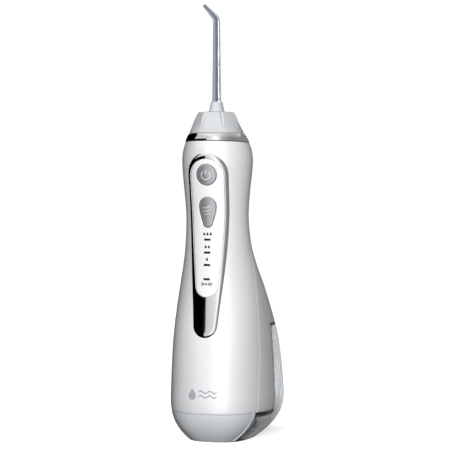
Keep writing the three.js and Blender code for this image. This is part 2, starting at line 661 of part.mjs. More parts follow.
const outletHose = () =>
  tubeAlong(through([0, PUMP_Y, 133.9], [0, 15, 142], [0, 8, 155], [0, 1.2, 166], [0, 0, 173.6]), 2, 16, 8);

// ---------- electrics ----------
const cell = (x) =>
  join(rod([x, CELL.y, CELL.z0], [x, CELL.y, CELL.z1 - 1.5], CELL.radius, 24), rod([x, CELL.y, CELL.z1 - 2], [x, CELL.y, CELL.z1], 2.8, 14));
const batteryStrap = () => block(-26, -5, 22.7, 26, 1, 23.3);
const circuitBoard = () => block(-BOARD.x, BOARD.y0, BOARD.z0, BOARD.x, BOARD.y1, BOARD.z1);
const tactSwitch = (z, front) =>
  join(
    block(-3, -10.8, z - 3, 3, BOARD.y0 - GAP, z + 3),
    rod([0, front, z], [0, -10.5, z], 1.6, 12),
  );

// ---------- assembly ----------
const look = (color, roughness, metalness = 0, opacity = 1) =>
  new THREE.MeshStandardMaterial({ color, roughness, metalness, opacity, transparent: opacity < 1 });
const pearl = look(0xe4e7ea, 0.25, 0.1);
const grey = look(0xa9adb2, 0.45);
const lightGrey = look(0xd3d6d8, 0.5);
const chrome = look(0xe6e6e6, 0.06, 1);
const white = look(0xf5f5f8, 0.3);
const dark = look(0x17181a, 0.25);
const clear = look(0xd5dadb, 0.08, 0, 0.45);
const rubber = look(0x2c2d2f, 0.8);
const steel = look(0xb9bcc0, 0.3, 1);
const nylon = look(0xdcd8cb, 0.5);
const brass = look(0xc9a24c, 0.3, 1);
const green = look(0x1f5a3a, 0.5);
const blue = look(0x3f6f9f, 0.4);

const flosser = new THREE.Group();
function add(name, made, material) {
  const mesh = new THREE.Mesh(geometryOf(made), material);
  mesh.name = name;
  flosser.add(mesh);
}

add("front_shell", frontShell(), pearl);
add("rear_shell", rearShell(), pearl);
add("base_cap", baseCap(), grey);
add("chrome_ring", chromeRing(), chrome);
add("panel_bezel", bezel(), chrome);
add("panel_inlay", inlay(), white);
add("power_button", powerButton(), grey);
add("mode_button", modeButton(), grey);
for (const [level, z] of Object.entries(LED_HEIGHTS)) add(`led_window_${level}`, ledWindow(z), dark);
add("rotation_collar", rotationCollar(), lightGrey);
add("tip_hub", tipHub(), lightGrey);
add("nozzle_tip", nozzleTip(), clear);
add("tip_socket", tipSocket(), nylon);
add("tip_o_ring", ringOf(4.1, 0.55, 188.6), rubber);
add("latch_plate", latchPlate(), nylon);
add("eject_button", ejectButton(), grey);
add("eject_spring", ejectSpring(), steel);
add("charge_port", chargePort(), dark);
add("charge_contact_left", chargeContact(-3.2), brass);
add("charge_contact_right", chargeContact(3.2), brass);
add("reservoir", reservoir(), clear);
add("fill_door", fillDoor(), clear);
add("door_gasket", doorGasket(), rubber);
add("door_hinge_pin", onHinge(-HINGE.end + 0.2, HINGE.end - 0.2, HINGE.pin), steel);
add("port_seal", portSeal(), rubber);
add("pickup_elbow", pickupElbow(), nylon);
add("inlet_nipple", inletNipple(), nylon);
add("inlet_hose", inletHose(), rubber);
add("outlet_hose", outletHose(), rubber);
add("pump_head", pumpHead(), nylon);
add("outlet_valve_ball", outletBall(), steel);
add("inlet_valve_disc", inletDisc(), rubber);
add("pump_cylinder", pumpCylinder(), nylon);
add("piston", piston(), nylon);
add("piston_seal", pistonSeal(), rubber);
add("wrist_pin", wristPin(), steel);
add("connecting_rod", connectingRod(), nylon);
add("drive_gear", driveGear(), nylon);
add("gear_axle", gearAxle(), steel);
add("motor_pinion", pinion(), brass);
add("motor_shaft", motorShaft(), steel);
add("motor_can", motorCan(), steel);
add("motor_end_cap", motorEndCap(), dark);
add("chassis", chassis(), nylon);
CHASSIS_SCREWS.forEach((place, i) => add(`chassis_screw_${i + 1}`, chassisScrew(place), steel));
add("battery_cell_left", cell(-CELL.x), blue);
add("battery_cell_right", cell(CELL.x), blue);
add("battery_strap", batteryStrap(), steel);
add("circuit_board", circuitBoard(), green);
add("power_switch", tactSwitch(POWER_Z, -13.6), dark);
add("mode_switch", tactSwitch(156, -11.1), dark);

export default flosser;
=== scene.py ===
"""The visible skin of a cordless water flosser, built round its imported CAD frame.

Lengths are in millimetres until a mesh is made. Z is up, the nozzle's axis is x = y = 0, and -Y is
the control side. Lights, cards and the camera are placed in metres.
"""

import json
import math

import bmesh
import bpy
import numpy as np
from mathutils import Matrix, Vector, geometry

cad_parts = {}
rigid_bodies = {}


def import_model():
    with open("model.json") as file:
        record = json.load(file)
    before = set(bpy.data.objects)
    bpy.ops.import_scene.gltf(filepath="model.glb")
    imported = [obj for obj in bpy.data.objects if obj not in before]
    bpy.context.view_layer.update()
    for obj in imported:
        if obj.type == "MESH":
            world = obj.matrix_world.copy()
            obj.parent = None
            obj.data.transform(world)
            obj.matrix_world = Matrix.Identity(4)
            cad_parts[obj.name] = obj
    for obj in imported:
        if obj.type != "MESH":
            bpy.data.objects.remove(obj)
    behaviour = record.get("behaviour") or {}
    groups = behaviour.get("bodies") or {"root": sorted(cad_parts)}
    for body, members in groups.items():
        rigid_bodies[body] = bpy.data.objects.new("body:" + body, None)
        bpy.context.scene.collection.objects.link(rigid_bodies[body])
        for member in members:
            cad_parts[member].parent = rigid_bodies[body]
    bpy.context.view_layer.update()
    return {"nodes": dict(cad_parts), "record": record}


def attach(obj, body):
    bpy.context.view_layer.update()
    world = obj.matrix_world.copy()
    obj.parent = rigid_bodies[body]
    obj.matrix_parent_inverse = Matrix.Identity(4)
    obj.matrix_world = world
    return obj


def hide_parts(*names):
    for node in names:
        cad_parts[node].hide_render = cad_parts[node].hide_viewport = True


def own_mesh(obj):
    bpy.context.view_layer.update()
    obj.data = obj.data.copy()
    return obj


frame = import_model()
MM = 0.001

# ---------- driving dimensions, as in the CAD source ----------
WALL = 2.4  # of the casings
GAP = 0.3  # between two pieces that meet
HALF_GAP = GAP / 2
BAND_TOP = 20.0  # where the grey base cap ends
BOWL_TOP = 30.0  # the body rounds in below this height
FOOT_SHARE = 0.58  # the foot's width, as a share of the body's at BOWL_TOP
BOWL_POWER = 2.7
SHELL_TOP = 203.3
RING_TOP = 209.5
RING_LEAN = math.tan(math.radians(3))
TANK_TOP = 79.0
TANK_FRONT = 20.0
TANK_WALL = 1.8
TRAY_TOP = 18.7
SEAM_Y = -6.0  # of the parting seam, at BAND_TOP
SEAM_LEAN = 0.1
PORT_X, PORT_Z = 18, 28  # where the handle draws water from the reservoir

# Body outline by height: half width, depth in front of the nozzle's axis, depth behind it.
BODY = np.array([
    [30, 35.0, 27.0, 71.5],
    [50, 34.2, 25.8, 67.5],
    [68, 33.0, 24.0, 61.5],
    [88, 30.8, 21.0, 50.5],
    [105, 28.2, 19.2, 40.8],
    [120, 25.2, 18.2, 31.5],
    [132, 23.1, 17.5, 25.2],
    [146, 21.9, 17.0, 21.3],
    [158, 21.9, 17.2, 20.0],
    [172, 23.0, 18.8, 21.2],
    [184, 24.1, 20.3, 23.6],
    [192, 24.4, 20.8, 24.4],
    [199, 23.4, 20.4, 23.6],
    [204, 21.6, 19.6, 21.8],
    [210, 18.9, 18.9, 18.9],
])


# ---------- the body's outline ----------
def points_at(x, y, z):
    """An array of points, of the shape that x, y and z broadcast to."""
    return np.stack(np.broadcast_arrays(x, y, z), -1)


def round_trip(steps):
    """Evenly spread angles, once round."""
    return np.linspace(0, 2 * math.pi, steps, endpoint=False)


def smoothstep(x, low=0.0, high=1.0):
    t = np.clip((np.asarray(x, float) - low) / (high - low), 0, 1)
    return t * t * (3 - 2 * t)


def hermite(knots, values, at):
    """A smooth curve through the knots with Catmull-Rom slopes."""
    k = np.arange(len(knots))
    before, after = np.maximum(k - 1, 0), np.minimum(k + 1, k[-1])
    slope = (values[after] - values[before]) / (knots[after] - knots[before])
    i = np.clip(np.searchsorted(knots, at, side="right") - 1, 0, len(knots) - 2)
    span = knots[i + 1] - knots[i]
    t = (at - knots[i]) / span
    ease = t * t * (3 - 2 * t)
    ends = t * (1 - t) ** 2 * slope[i] + t * t * (t - 1) * slope[i + 1]
    return values[i] * (1 - ease) + values[i + 1] * ease + span * ends


def smooth_column(column, z):
    """Smooth value of one column of BODY at the heights z."""
    heights = BODY[:, 0]
    return hermite(heights, BODY[:, column], np.clip(z, heights[0], heights[-1]))


def section(z, offset=0.0):
    """Half width, half depth, middle and squareness of the outline at the heights z."""
    z = np.asarray(z, float)
    below = np.clip(1 - z / BOWL_TOP, 0, 1)
    bowl = 1 - (1 - FOOT_SHARE) * below**BOWL_POWER
    side = smooth_column(1, z) * bowl + offset
    front = smooth_column(2, z) * bowl + offset
    rear = smooth_column(3, z) * bowl + offset
    power = 2 + 0.6 * smoothstep(130 - z, 0, 60)
    return side, (front + rear) / 2, (rear - front) / 2, power


def body_point(angle, z, offset=0.0):
    """The point of the body's outline at that angle and height, or offset mm outside it."""
    side, depth, middle, power = section(z, offset)
    c, s = np.cos(angle), np.sin(angle)
    x = side * np.sign(c) * np.abs(c) ** (2 / power)
    y = middle + depth * np.sign(s) * np.abs(s) ** (2 / power)
    return points_at(x, y, z)


def angle_at_y(y, z):
    """The outline's angle on the right-hand side where it crosses the plane of that y."""
    _, depth, middle, power = section(z)
    share = np.clip((y - middle) / depth, -1, 1)
    return np.arcsin(np.sign(share) * np.abs(share) ** (power / 2))


def surface_y(x, z, side=-1):
    """y of the body's front (side -1) or rear (side +1) at x and z."""
    half, depth, middle, power = section(z)
    share = np.clip(np.abs(x) / half, 0, 0.999)
    return middle + side * depth * (1 - share**power) ** (1 / power)


def raised(x, z, height, side=-1):
    """Points above the body's front or rear by height, along its own normal."""
    x, z, height = np.broadcast_arrays(*(np.asarray(v, float) for v in (x, z, height)))
    d = 0.05
    slope_x = (surface_y(x + d, z, side) - surface_y(x - d, z, side)) / (2 * d)
    slope_z = (surface_y(x, z + d, side) - surface_y(x, z - d, side)) / (2 * d)
    normal = np.stack([-slope_x, np.ones_like(x), -slope_z], -1) * side
    normal /= np.linalg.norm(normal, axis=-1, keepdims=True)
    return np.stack([x, surface_y(x, z, side), z], -1) + normal * height[..., None]


def seam_at(z):
    """y of the parting seam between the front and the rear of the body."""
    return SEAM_Y + SEAM_LEAN * (z - BAND_TOP)


def shell_top(y):
    """Height of the shells' top edge, which leans down to the rear."""
    return SHELL_TOP - RING_LEAN * y


# ---------- meshes ----------
WELD = 0.002


def in_scene(name, data):
    made = bpy.data.objects.new(name, data)
    bpy.context.scene.collection.objects.link(made)
    return made


def as_object(name, points, faces):
    mesh = bpy.data.meshes.new(name)
    mesh.from_pydata([tuple(p) for p in np.asarray(points, float).reshape(-1, 3) * MM], [], faces)
    return in_scene(name, mesh)


def tidy(obj):
    """Welds points that coincide and turns every face outwards."""
    bm = bmesh.new()
    bm.from_mesh(obj.data)
    bmesh.ops.remove_doubles(bm, verts=bm.verts, dist=WELD * MM)
    bmesh.ops.dissolve_degenerate(bm, edges=bm.edges, dist=WELD * MM)
    bmesh.ops.recalc_face_normals(bm, faces=bm.faces)
    bm.to_mesh(obj.data)
    bm.free()
    return obj


def modify(obj, kind, **settings):
    mod = obj.modifiers.new(kind, kind)
    for name, value in settings.items():
        setattr(mod, name, value)
    return obj


def thicken(obj, wall):
    """Gives a sheet its wall, behind its face."""
    return modify(obj, "SOLIDIFY", thickness=wall * MM, offset=-1, use_even_offset=True)


def round_edges(obj, width, angle=35, segments=3):
    """Rounds every edge sharper than angle."""
    size = {"width": width * MM, "segments": segments, "use_clamp_overlap": True}
    where = {"limit_method": "ANGLE", "angle_limit": math.radians(angle)}
    return modify(obj, "BEVEL", **size, **where, miter_outer="MITER_ARC")


def cut(obj, *tools):
    """Cuts the tools out of obj, and removes them."""
    bake(obj)
    for tool in tools:
        bake(modify(obj, "BOOLEAN", operation="DIFFERENCE", solver="EXACT", object=tool))
        bpy.data.objects.remove(tool)
    return obj


def bake(obj):
    """Replaces the mesh with what its modifiers make of it."""
    bpy.context.view_layer.update()
    graph = bpy.context.evaluated_depsgraph_get()
    made = bpy.data.meshes.new_from_object(obj.evaluated_get(graph))
    obj.modifiers.clear()
    obj.data = made
    return obj


def place(obj, body, material, replaces=(), sharp=32):
    """Finishes a piece: shading, material, and the CAD body it rides on."""
    bake(obj)
    mesh = obj.data
    mesh.shade_smooth()
    mesh.set_sharp_from_angle(angle=math.radians(sharp))
    mesh.materials.clear()
    mesh.materials.append(material)
    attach(obj, body)
    if replaces:
        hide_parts(*replaces)
    return obj


def grid_faces(rows, columns, closed=False, keep=None):
    """Quads over a grid of rows and columns. keep is a mask of rows-1 by columns-1 (or columns)."""
    across = columns if closed else columns - 1
    faces = []
    for r in range(rows - 1):
        for c in range(across):
            if keep is None or keep[r][c]:
                d = (c + 1) % columns
                here, above = r * columns, (r + 1) * columns
                faces.append((here + c, here + d, above + d, above + c))
    return faces


def grid(name, points, closed=False, keep=None):
    rows, columns = points.shape[:2]
    return as_object(name, points, grid_faces(rows, columns, closed, keep))


def join(name, *objects):
    """One mesh out of several objects."""
    bm = bmesh.new()
    for o in objects:
        bake(o)
        bm.from_mesh(o.data)
        bpy.data.objects.remove(o)
    mesh = bpy.data.meshes.new(name)
    bm.to_mesh(mesh)
    bm.free()
    return in_scene(name, mesh)


def turned(name, profile, sides):
    """A ring-shaped solid turned about the nozzle's axis from a closed profile of (radius, z)."""
    radius, z = np.asarray(profile, float).T[:, :, None]
    angle = round_trip(sides)
    rings = points_at(radius * np.cos(angle), radius * np.sin(angle), z)
    rings = np.concatenate([rings, rings[:1]])
    return tidy(grid(name, rings, closed=True))


def rod(name, start, end, radius, sides=40):
    """A closed round bar between two points."""
    turn = np.array((Vector(end) - Vector(start)).to_track_quat("Z", "Y").to_matrix())
    a = round_trip(sides)
    ring = radius * points_at(np.cos(a), np.sin(a), 0) @ turn.T
    rings = [0 * ring + start, ring + start, ring + end, 0 * ring + end]
    return tidy(grid(name, np.array(rings), closed=True))


def box_of(name, low, high):
    """A box between two corners."""
    (x0, y0, z0), (x1, y1, z1) = low, high
    corners = [(x, y, z) for z in (z0, z1) for y in (y0, y1) for x in (x0, x1)]
    faces = [(0, 2, 3, 1), (4, 5, 7, 6), (0, 1, 5, 4), (2, 6, 7, 3), (0, 4, 6, 2), (1, 3, 7, 5)]
    return as_object(name, corners, faces)


# ---------- control panel outlines, on x and z ----------
# Each keyhole shape: the top and bottom arcs as (z, radius), and its sides as (half width, z).
BEZEL = dict(
    top=(181.8, 14.5),
    bottom=(80.3, 8.8),
    sides=[(14.1, 157), (13.3, 137), (12.2, 120), (10.9, 104), (9.6, 90)],
)
INLAY = dict(top=(180.6, 11.7), bottom=(106.8, 7.7), sides=[(11.3, 157), (10.3, 137), (9.0, 121)])
MODE = dict(top=(160.2, 6.1), bottom=(149.3, 3.5), sides=[(5.7, 156.6), (4.6, 152.6)])
POWER_Z = 181.5
POWER_RADIUS = 7.1
LED_HEIGHTS = {"high": 137.6, "medium": 128.9, "low": 120.5, "charge": 110.9}
LED_HALF = (2.2, 0.65)


def keyhole(top, bottom, sides, grow=0.0):
    """A closed outline: an arc above, an arc below, and smooth sides through (half width, z) points."""
    steps = 40
    (top_z, top_r), (bottom_z, bottom_r) = top, bottom
    knots = np.array([(top_r, top_z), *sides, (bottom_r, bottom_z)], float)[::-1]
    z = np.linspace(bottom_z, top_z, max(8, int((top_z - bottom_z) / 1.5)))
    width = hermite(knots[:, 1], knots[:, 0], z) + grow
    upper = np.linspace(0, math.pi, steps)
    lower = np.linspace(math.pi, 2 * math.pi, steps)
    return np.concatenate([
        np.stack([(top_r + grow) * np.cos(upper), top_z + (top_r + grow) * np.sin(upper)], -1),
        np.stack([-width[::-1], z[::-1]], -1)[1:-1],
        np.stack([(bottom_r + grow) * np.cos(lower), bottom_z + (bottom_r + grow) * np.sin(lower)], -1),
        np.stack([width, z], -1)[1:-1],
    ])


def ellipse(x, z, half_x, half_z, steps=72):
    a = round_trip(steps)
    return np.stack([x + half_x * np.cos(a), z + half_z * np.sin(a)], -1)


def circle(x, z, radius):
    return ellipse(x, z, radius, radius, steps=64)


def rounded_bar(x, z, half_x, half_z, radius=0.3):
    """A bar with rounded corners."""
    steps = 6
    corners = [(1, 1, 0), (-1, 1, 90), (-1, -1, 180), (1, -1, 270)]
    points = []
    for sx, sz, start in corners:
        for k in range(steps):
            a = math.radians(start + 90 * k / (steps - 1))
            points.append((
                x + sx * (half_x - radius) + radius * math.cos(a),
                z + sz * (half_z - radius) + radius * math.sin(a),
            ))
    return np.array(points)


def inside(points, loop):
    """Which of the points lie inside a closed loop."""
    x, z = points[:, 0], points[:, 1]
    a, b = loop, np.roll(loop, -1, 0)
    hit = np.zeros(len(points), bool)
    for (ax, az), (bx, bz) in zip(a, b):
        if az != bz:
            crosses = ((az > z) != (bz > z)) & (x < (bx - ax) * (z - az) / (bz - az) + ax)
            hit ^= crosses
    return hit


def distance_to(points, loop):
    """Each point's distance to a closed loop."""
    a, b = loop, np.roll(loop, -1, 0)
    best = np.full(len(points), np.inf)
    for p, q in zip(a, b):
        d = q - p
        t = np.clip(((points - p) @ d) / max(d @ d, 1e-12), 0, 1)
        best = np.minimum(best, np.linalg.norm(points - (p + t[:, None] * d), axis=1))
    return best


def sheet_between(outer, holes, spacing, rims=(0.15, 0.35, 0.7, 1.2)):
    """Triangles that fill a loop, less its holes, with extra points in bands along each edge."""
    low, high = outer.min(0), outer.max(0)
    xs = np.arange(low[0], high[0], spacing)
    zs = np.arange(low[1], high[1], spacing * 0.9)
    gx, gz = np.meshgrid(xs, zs)
    gx = gx + (np.arange(len(zs)) % 2)[:, None] * spacing / 2
    free = np.stack([gx.ravel(), gz.ravel()], -1)
    margin = max(rims) + spacing * 0.5
    loops = [outer, *holes]
    keep = inside(free, outer) & (distance_to(free, outer) > margin)
    for hole in holes:
        keep &= ~inside(free, hole) & (distance_to(free, hole) > margin)
    points = [free[keep]]
    for loop, sign in [(outer, -1), *((h, 1) for h in holes)]:
        along = np.roll(loop, -1, 0) - np.roll(loop, 1, 0)
        out = np.stack([along[:, 1], -along[:, 0]], -1)
        out /= np.maximum(np.linalg.norm(out, axis=1, keepdims=True), 1e-9)
        for rim in rims:
            band = loop + sign * rim * out
            good = inside(band, outer) & (distance_to(band, outer) > rim * 0.9)
            for hole in holes:
                good &= ~inside(band, hole) & (distance_to(band, hole) > rim * 0.9)
            points.append(band[good])
    inner_points = np.concatenate(points)
    edges, start = [], 0
    for loop in loops:
        n = len(loop)
        edges += [(start + i, start + (i + 1) % n) for i in range(n)]
        start += n
    every = np.concatenate([*loops, inner_points])
    found, _, faces, *_ = geometry.delaunay_2d_cdt([Vector(p) for p in every], edges, [], 0, 1e-5)
    found = np.array([tuple(p) for p in found])
    faces = [f for f in faces if len(f) == 3]
    centres = np.array([found[list(f)].mean(0) for f in faces])
    keep = inside(centres, outer)
    for hole in holes:
        keep &= ~inside(centres, hole)
    return found, [f for f, k in zip(faces, keep) if k]


def relief(name, outer, holes, height, depth, spacing=1.0, side=-1, rims=(0.15, 0.35, 0.7, 1.2)):
    """A plate that follows the body: its top height(points) above it, and its back depth under it."""
    points, faces = sheet_between(outer, holes, spacing, rims)
    top = raised(points[:, 0], points[:, 1], height(points), side)
    back = raised(points[:, 0], points[:, 1], -depth, side)
    n = len(points)
    count = {}
    for f in faces:
        for a, b in zip(f, f[1:] + f[:1]):
            count[frozenset((a, b))] = count.get(frozenset((a, b)), 0) + 1
    walls = [
        (a, b, n + b, n + a)
        for f in faces
        for a, b in zip(f, f[1:] + f[:1])
        if count[frozenset((a, b))] == 1
    ]
    under = [tuple(n + i for i in reversed(f)) for f in faces]
    return tidy(as_object(name, np.concatenate([top, back]), [*faces, *under, *walls]))


# ---------- casings ----------
RIM = 0.09  # the soft edge on the casings' rims
BEZEL_SEAT = 1.2  # how far the bezel laps the front shell
MANY = 60  # further out than the body reaches


def front_shell(material):
    """The pearl front of the handle, from the base cap up to the ring, with the panel's opening."""
    rows, columns = 150, 101
    v = np.linspace(0, 1, rows)[:, None]
    u = np.linspace(-1, 1, columns)[None, :]
    low = BAND_TOP + HALF_GAP
    z = low + (SHELL_TOP - low) * v + 0 * u
    for _ in range(5):
        right = angle_at_y(seam_at(z) - HALF_GAP, z)
        angle = -math.pi / 2 + u * (right + math.pi / 2)
        top = shell_top(body_point(angle, z)[..., 1])
        z = low + (top - low) * v
    shell = grid("front_shell", body_point(angle, z))
    round_edges(thicken(tidy(shell), WALL), RIM, angle=50, segments=2)
    opening = flat_prism(keyhole(**BEZEL, grow=-BEZEL_SEAT), -MANY, -8)
    return place(cut(shell, opening), "handle", material, ["front_shell"])


def flat_prism(loop, y0, y1):
    """A closed loop on x and z, extruded along y."""
    middle = np.broadcast_to(loop.mean(0), loop.shape)
    rings = [(middle, y0), (loop, y0), (loop, y1), (middle, y1)]
    points = np.array([points_at(ring[:, 0], y, ring[:, 1]) for ring, y in rings])
    return tidy(grid("prism", points, closed=True))


def rear_shell(material):
    """The pearl rear of the handle. Below the shelf over the reservoir only its two cheeks go on down."""
    low_rows, high_rows, side_columns, rear_columns = 40, 92, 22, 81
    low, shelf = BAND_TOP + HALF_GAP, TANK_TOP + HALF_GAP
    v = np.concatenate([np.linspace(0, 1, low_rows), np.linspace(1, 2, high_rows)[1:]])[:, None]
    u = np.concatenate([
        np.linspace(-2, -1, side_columns)[:-1],
        np.linspace(-1, 1, rear_columns),
        np.linspace(1, 2, side_columns)[1:],
    ])[None, :]
    z = np.where(v <= 1, low + (shelf - low) * v, shelf + (SHELL_TOP - shelf) * (v - 1)) + 0 * u
    for _ in range(5):
        seam = angle_at_y(seam_at(z) + HALF_GAP, z)
        at_shelf = np.minimum(z, shelf)
        corner = angle_at_y(TANK_FRONT - HALF_GAP, at_shelf)
        seam_low = angle_at_y(seam_at(at_shelf) + HALF_GAP, at_shelf)
        share = (corner - seam_low) / (math.pi / 2 - seam_low)
        corner = seam + share * (math.pi / 2 - seam)
        spread = np.abs(u)
        from_rear = np.where(
            spread <= 1,
            spread * (math.pi / 2 - corner),
            math.pi / 2 - corner + (spread - 1) * (corner - seam),
        )
        angle = math.pi / 2 + np.sign(u) * from_rear
        top = shell_top(body_point(angle, z)[..., 1])
        z = np.where(v <= 1, low + (shelf - low) * v, shelf + (top - shelf) * (v - 1))
    keep = np.ones((len(v) - 1, u.shape[1] - 1), bool)
    keep[: low_rows - 1, side_columns - 1 : side_columns + rear_columns - 2] = False
    shell = grid("rear_shell", body_point(angle, z), keep=keep)
    round_edges(thicken(tidy(shell), WALL), RIM, angle=50, segments=2)
    charge = rod("tool", along_charge(-9), along_charge(7), CHARGE_RADIUS + GAP, 64)
    eject = flat_prism(ellipse(0, EJECT_Z, EJECT_HALF[0] + GAP, EJECT_HALF[1] + GAP), 12, 40)
    inset = 0.02  # keeps the tool's faces off the shell's own
    tank_low = (-MANY, TANK_FRONT - HALF_GAP + inset, 0)
    tank = box_of("tool", tank_low, (MANY, 90, TANK_TOP + HALF_GAP - inset))
    return place(cut(shell, charge, eject, tank), "handle", material, ["rear_shell"])


def bulkheads(material, painted_shade_underside):
    """The handle's walls before and over the reservoir, and its floor over the tray, made black as painted
    shade for the shadow above the tray.
    """
    front, top, inset = TANK_FRONT - HALF_GAP, TANK_TOP + HALF_GAP, 0.5
    wall = side_to_side("wall", front, np.linspace(BAND_TOP + 0.6, top, 30), np.linspace(1, -1, 40), inset)
    roof = level_sheet("roof", top, front - 0.4, 2.0)
    y = np.linspace(SEAM_Y + inset, front, 16)
    floor = side_to_side("bulkhead_floor", y, BAND_TOP + HALF_GAP, np.linspace(-1, 1, 30), inset)
    nipple = rod("tool", (PORT_X, 12, PORT_Z), (PORT_X, 26, PORT_Z), 2.1)
    cut(thicken(wall, WALL), nipple)
    thicken(roof, WALL)
    thicken(floor, -WALL)
    place(join("rear_bulkheads", wall, roof), "handle", material, sharp=25)
    # painted shade: the floor over the tray is black for the shadow between the handle and the tray
    place(floor, "handle", painted_shade_underside, sharp=25)


def side_to_side(name, y, z, share, inset):
    """A sheet from one side of the body to the other, its rows at y and z and its columns at each share."""
    y, z = np.broadcast_arrays(y, z)
    half = body_point(angle_at_y(y, z), z)[:, None, 0] - inset
    return grid(name, points_at(share * half, y[:, None], z[:, None]))


def level_sheet(name, z, front, inset):
    """A level sheet that fills the outline behind front."""
    corner = angle_at_y(front, np.array(z))
    rear = body_point(np.linspace(corner, math.pi - corner, 60), z, -inset)
    t = np.linspace(0, 1, 24)[:, None]
    return grid(name, points_at(rear[:, 0], front + t * (rear[:, 1] - front), z))


def base_cap(material):
    """The grey front of the base: the bowl's front, its flat foot and a wall along the seam."""
    high = BAND_TOP - HALF_GAP
    z = (high * (1 - np.linspace(0, 1, 44) ** 0.8))[:, None]
    u = np.linspace(-1, 1, 101)[None, :]
    right = angle_at_y(seam_at(z) - HALF_GAP, z)
    bowl = body_point(-math.pi / 2 + u * (right + math.pi / 2), z)
    edge = bowl[-1]
    t = np.linspace(0, 1, 14)[1:, None]
    y = edge[:, 1] + t * (seam_at(0) - HALF_GAP - edge[:, 1])
    foot = points_at(edge[:, 0], y, 0)
    up = z[::-1][1:]
    side = body_point(angle_at_y(seam_at(up) - HALF_GAP, up), up)[..., 0]
    wall = points_at(u * side, seam_at(up) - HALF_GAP, up)
    foot[-1, :, 0] = u[0] * body_point(angle_at_y(seam_at(0) - HALF_GAP, np.array(0.0)), 0)[0]
    cap = grid("base_cap", np.concatenate([bowl, foot, wall]))
    round_edges(thicken(tidy(cap), WALL), 0.15, angle=50)
    return place(held_before_seam(cap), "handle", material, ["base_cap"])


def held_before_seam(obj):
    """Flattens what the thickening pushed out past the base cap's side of the seam."""
    bake(obj)
    for v in obj.data.vertices:
        v.co.y = min(v.co.y, (seam_at(v.co.z / MM) - HALF_GAP) * MM)
    return obj


def chrome_ring(material):
    """The ring at the top of the neck: a slightly full band whose lower edge leans down to the rear."""
    columns = 160
    angle = round_trip(columns)[None, :]
    v = np.linspace(0, 1, 28)[:, None]
    z = SHELL_TOP + GAP + v * (RING_TOP - SHELL_TOP - GAP) + 0 * angle
    for _ in range(4):
        low = shell_top(body_point(angle, z)[..., 1]) + 0.45
        z = low + v * (RING_TOP - low)
    fullness = 0.3 * np.sin(math.pi * v) ** 0.7 + 0.25 - 0.5 * v
    outer = body_point(angle, z, fullness)
    well_depth, plate, hole_radius = 3.0, 1.6, 7.6
    top = body_point(angle, np.full_like(z[:1], RING_TOP), -3.2)
    well = top - np.array([0, 0, well_depth])
    hole_x, hole_y = hole_radius * np.cos(angle), hole_radius * np.sin(angle)
    hole = np.stack([hole_x, hole_y, 0 * angle + RING_TOP - well_depth], -1)
    under = hole - np.array([0, 0, plate])
    inner = body_point(angle, np.full_like(z[:1], RING_TOP - well_depth - plate), -WALL)
    skirt = body_point(angle, z[:1], -WALL)
    rings = np.concatenate([outer, top, well, hole, under, inner, skirt, outer[:1]])
    ring = round_edges(tidy(grid("chrome_ring", rings, closed=True)), 0.3, angle=50)
    return place(ring, "handle", material, ["chrome_ring"])


def neck_gasket(material):
    """A black band of painted shade in the groove under the chrome ring, for the shadow that falls there.
    """
    angle = round_trip(120)[None, :]
    low = shell_top(body_point(angle, np.full_like(angle, SHELL_TOP))[..., 1])
    profile = [(-1, 0.7), (1, 0.7), (1, 2.2), (-1, 2.2), (-1, 0.7)]
    rings = [body_point(angle, low + up, -inset) for up, inset in profile]
    made = tidy(grid("neck_gasket", np.concatenate(rings), closed=True))
    return place(made, "handle", material)


# ---------- control panel ----------
def bezel(material):
    """The chrome frame, full in the middle and low at both edges."""
    outer, inner = keyhole(**BEZEL), keyhole(**INLAY, grow=HALF_GAP)

    def height(p):
        edge = 1 - np.clip(distance_to(p, outer) / 2.4, 0, 1)
        lip = 1 - np.clip(distance_to(p, inner) / 0.6, 0, 1)
        return 0.15 + 0.95 * (1 - edge**2.2) - 0.07 * lip**2

    rims = (0.04, 0.12, 0.25, 0.45, 0.7, 1.0, 1.35, 1.7)
    made = relief("panel_bezel", outer, [inner], height, 1.0, 0.8, rims=rims)
    return place(made, "handle", material, ["panel_bezel"], sharp=50)


def inlay_height(p):
    """How high the inlay stands over the body: a little fuller in the middle."""
    return 0.3 + 0.2 * smoothstep(distance_to(p, keyhole(**INLAY)), 0.0, 3.0)


def inlay(material):
    """The white panel, with a softened edge round each button."""
    outer = keyhole(**INLAY)
    leds = [rounded_bar(0, z, LED_HALF[0] + 0.1, LED_HALF[1] + 0.1) for z in LED_HEIGHTS.values()]
    holes = [circle(0, POWER_Z, POWER_RADIUS + 0.25), keyhole(**MODE, grow=0.25), *leds]

    def height(p):
        edge = distance_to(p, outer)
        for hole in holes[:2]:
            edge = np.minimum(edge, distance_to(p, hole))
        return inlay_height(p) - 0.15 * (1 - smoothstep(edge, 0, 0.4))

    made = relief("panel_inlay", outer, holes, height, 1.0, 0.9, rims=(0.12, 0.35, 0.8))
    return place(made, "handle", material, ["panel_inlay"], sharp=50)


def button_height(outer, crown):
    """How high a button's cap stands: a rounded edge and a full top."""
    def height(p):
        edge = distance_to(p, outer)
        rise = 0.55 * np.sqrt(1 - (1 - np.clip(edge / 0.7, 0, 1)) ** 2)
        return 0.45 + rise + crown * smoothstep(edge, 0.3, 6.5)

    return height


def button(name, outer, height, body, material):
    made = relief(name, outer, [], height, 2.2, 0.6, rims=(0.06, 0.15, 0.3, 0.5, 0.75))
    return place(made, body, material, [name], sharp=50)


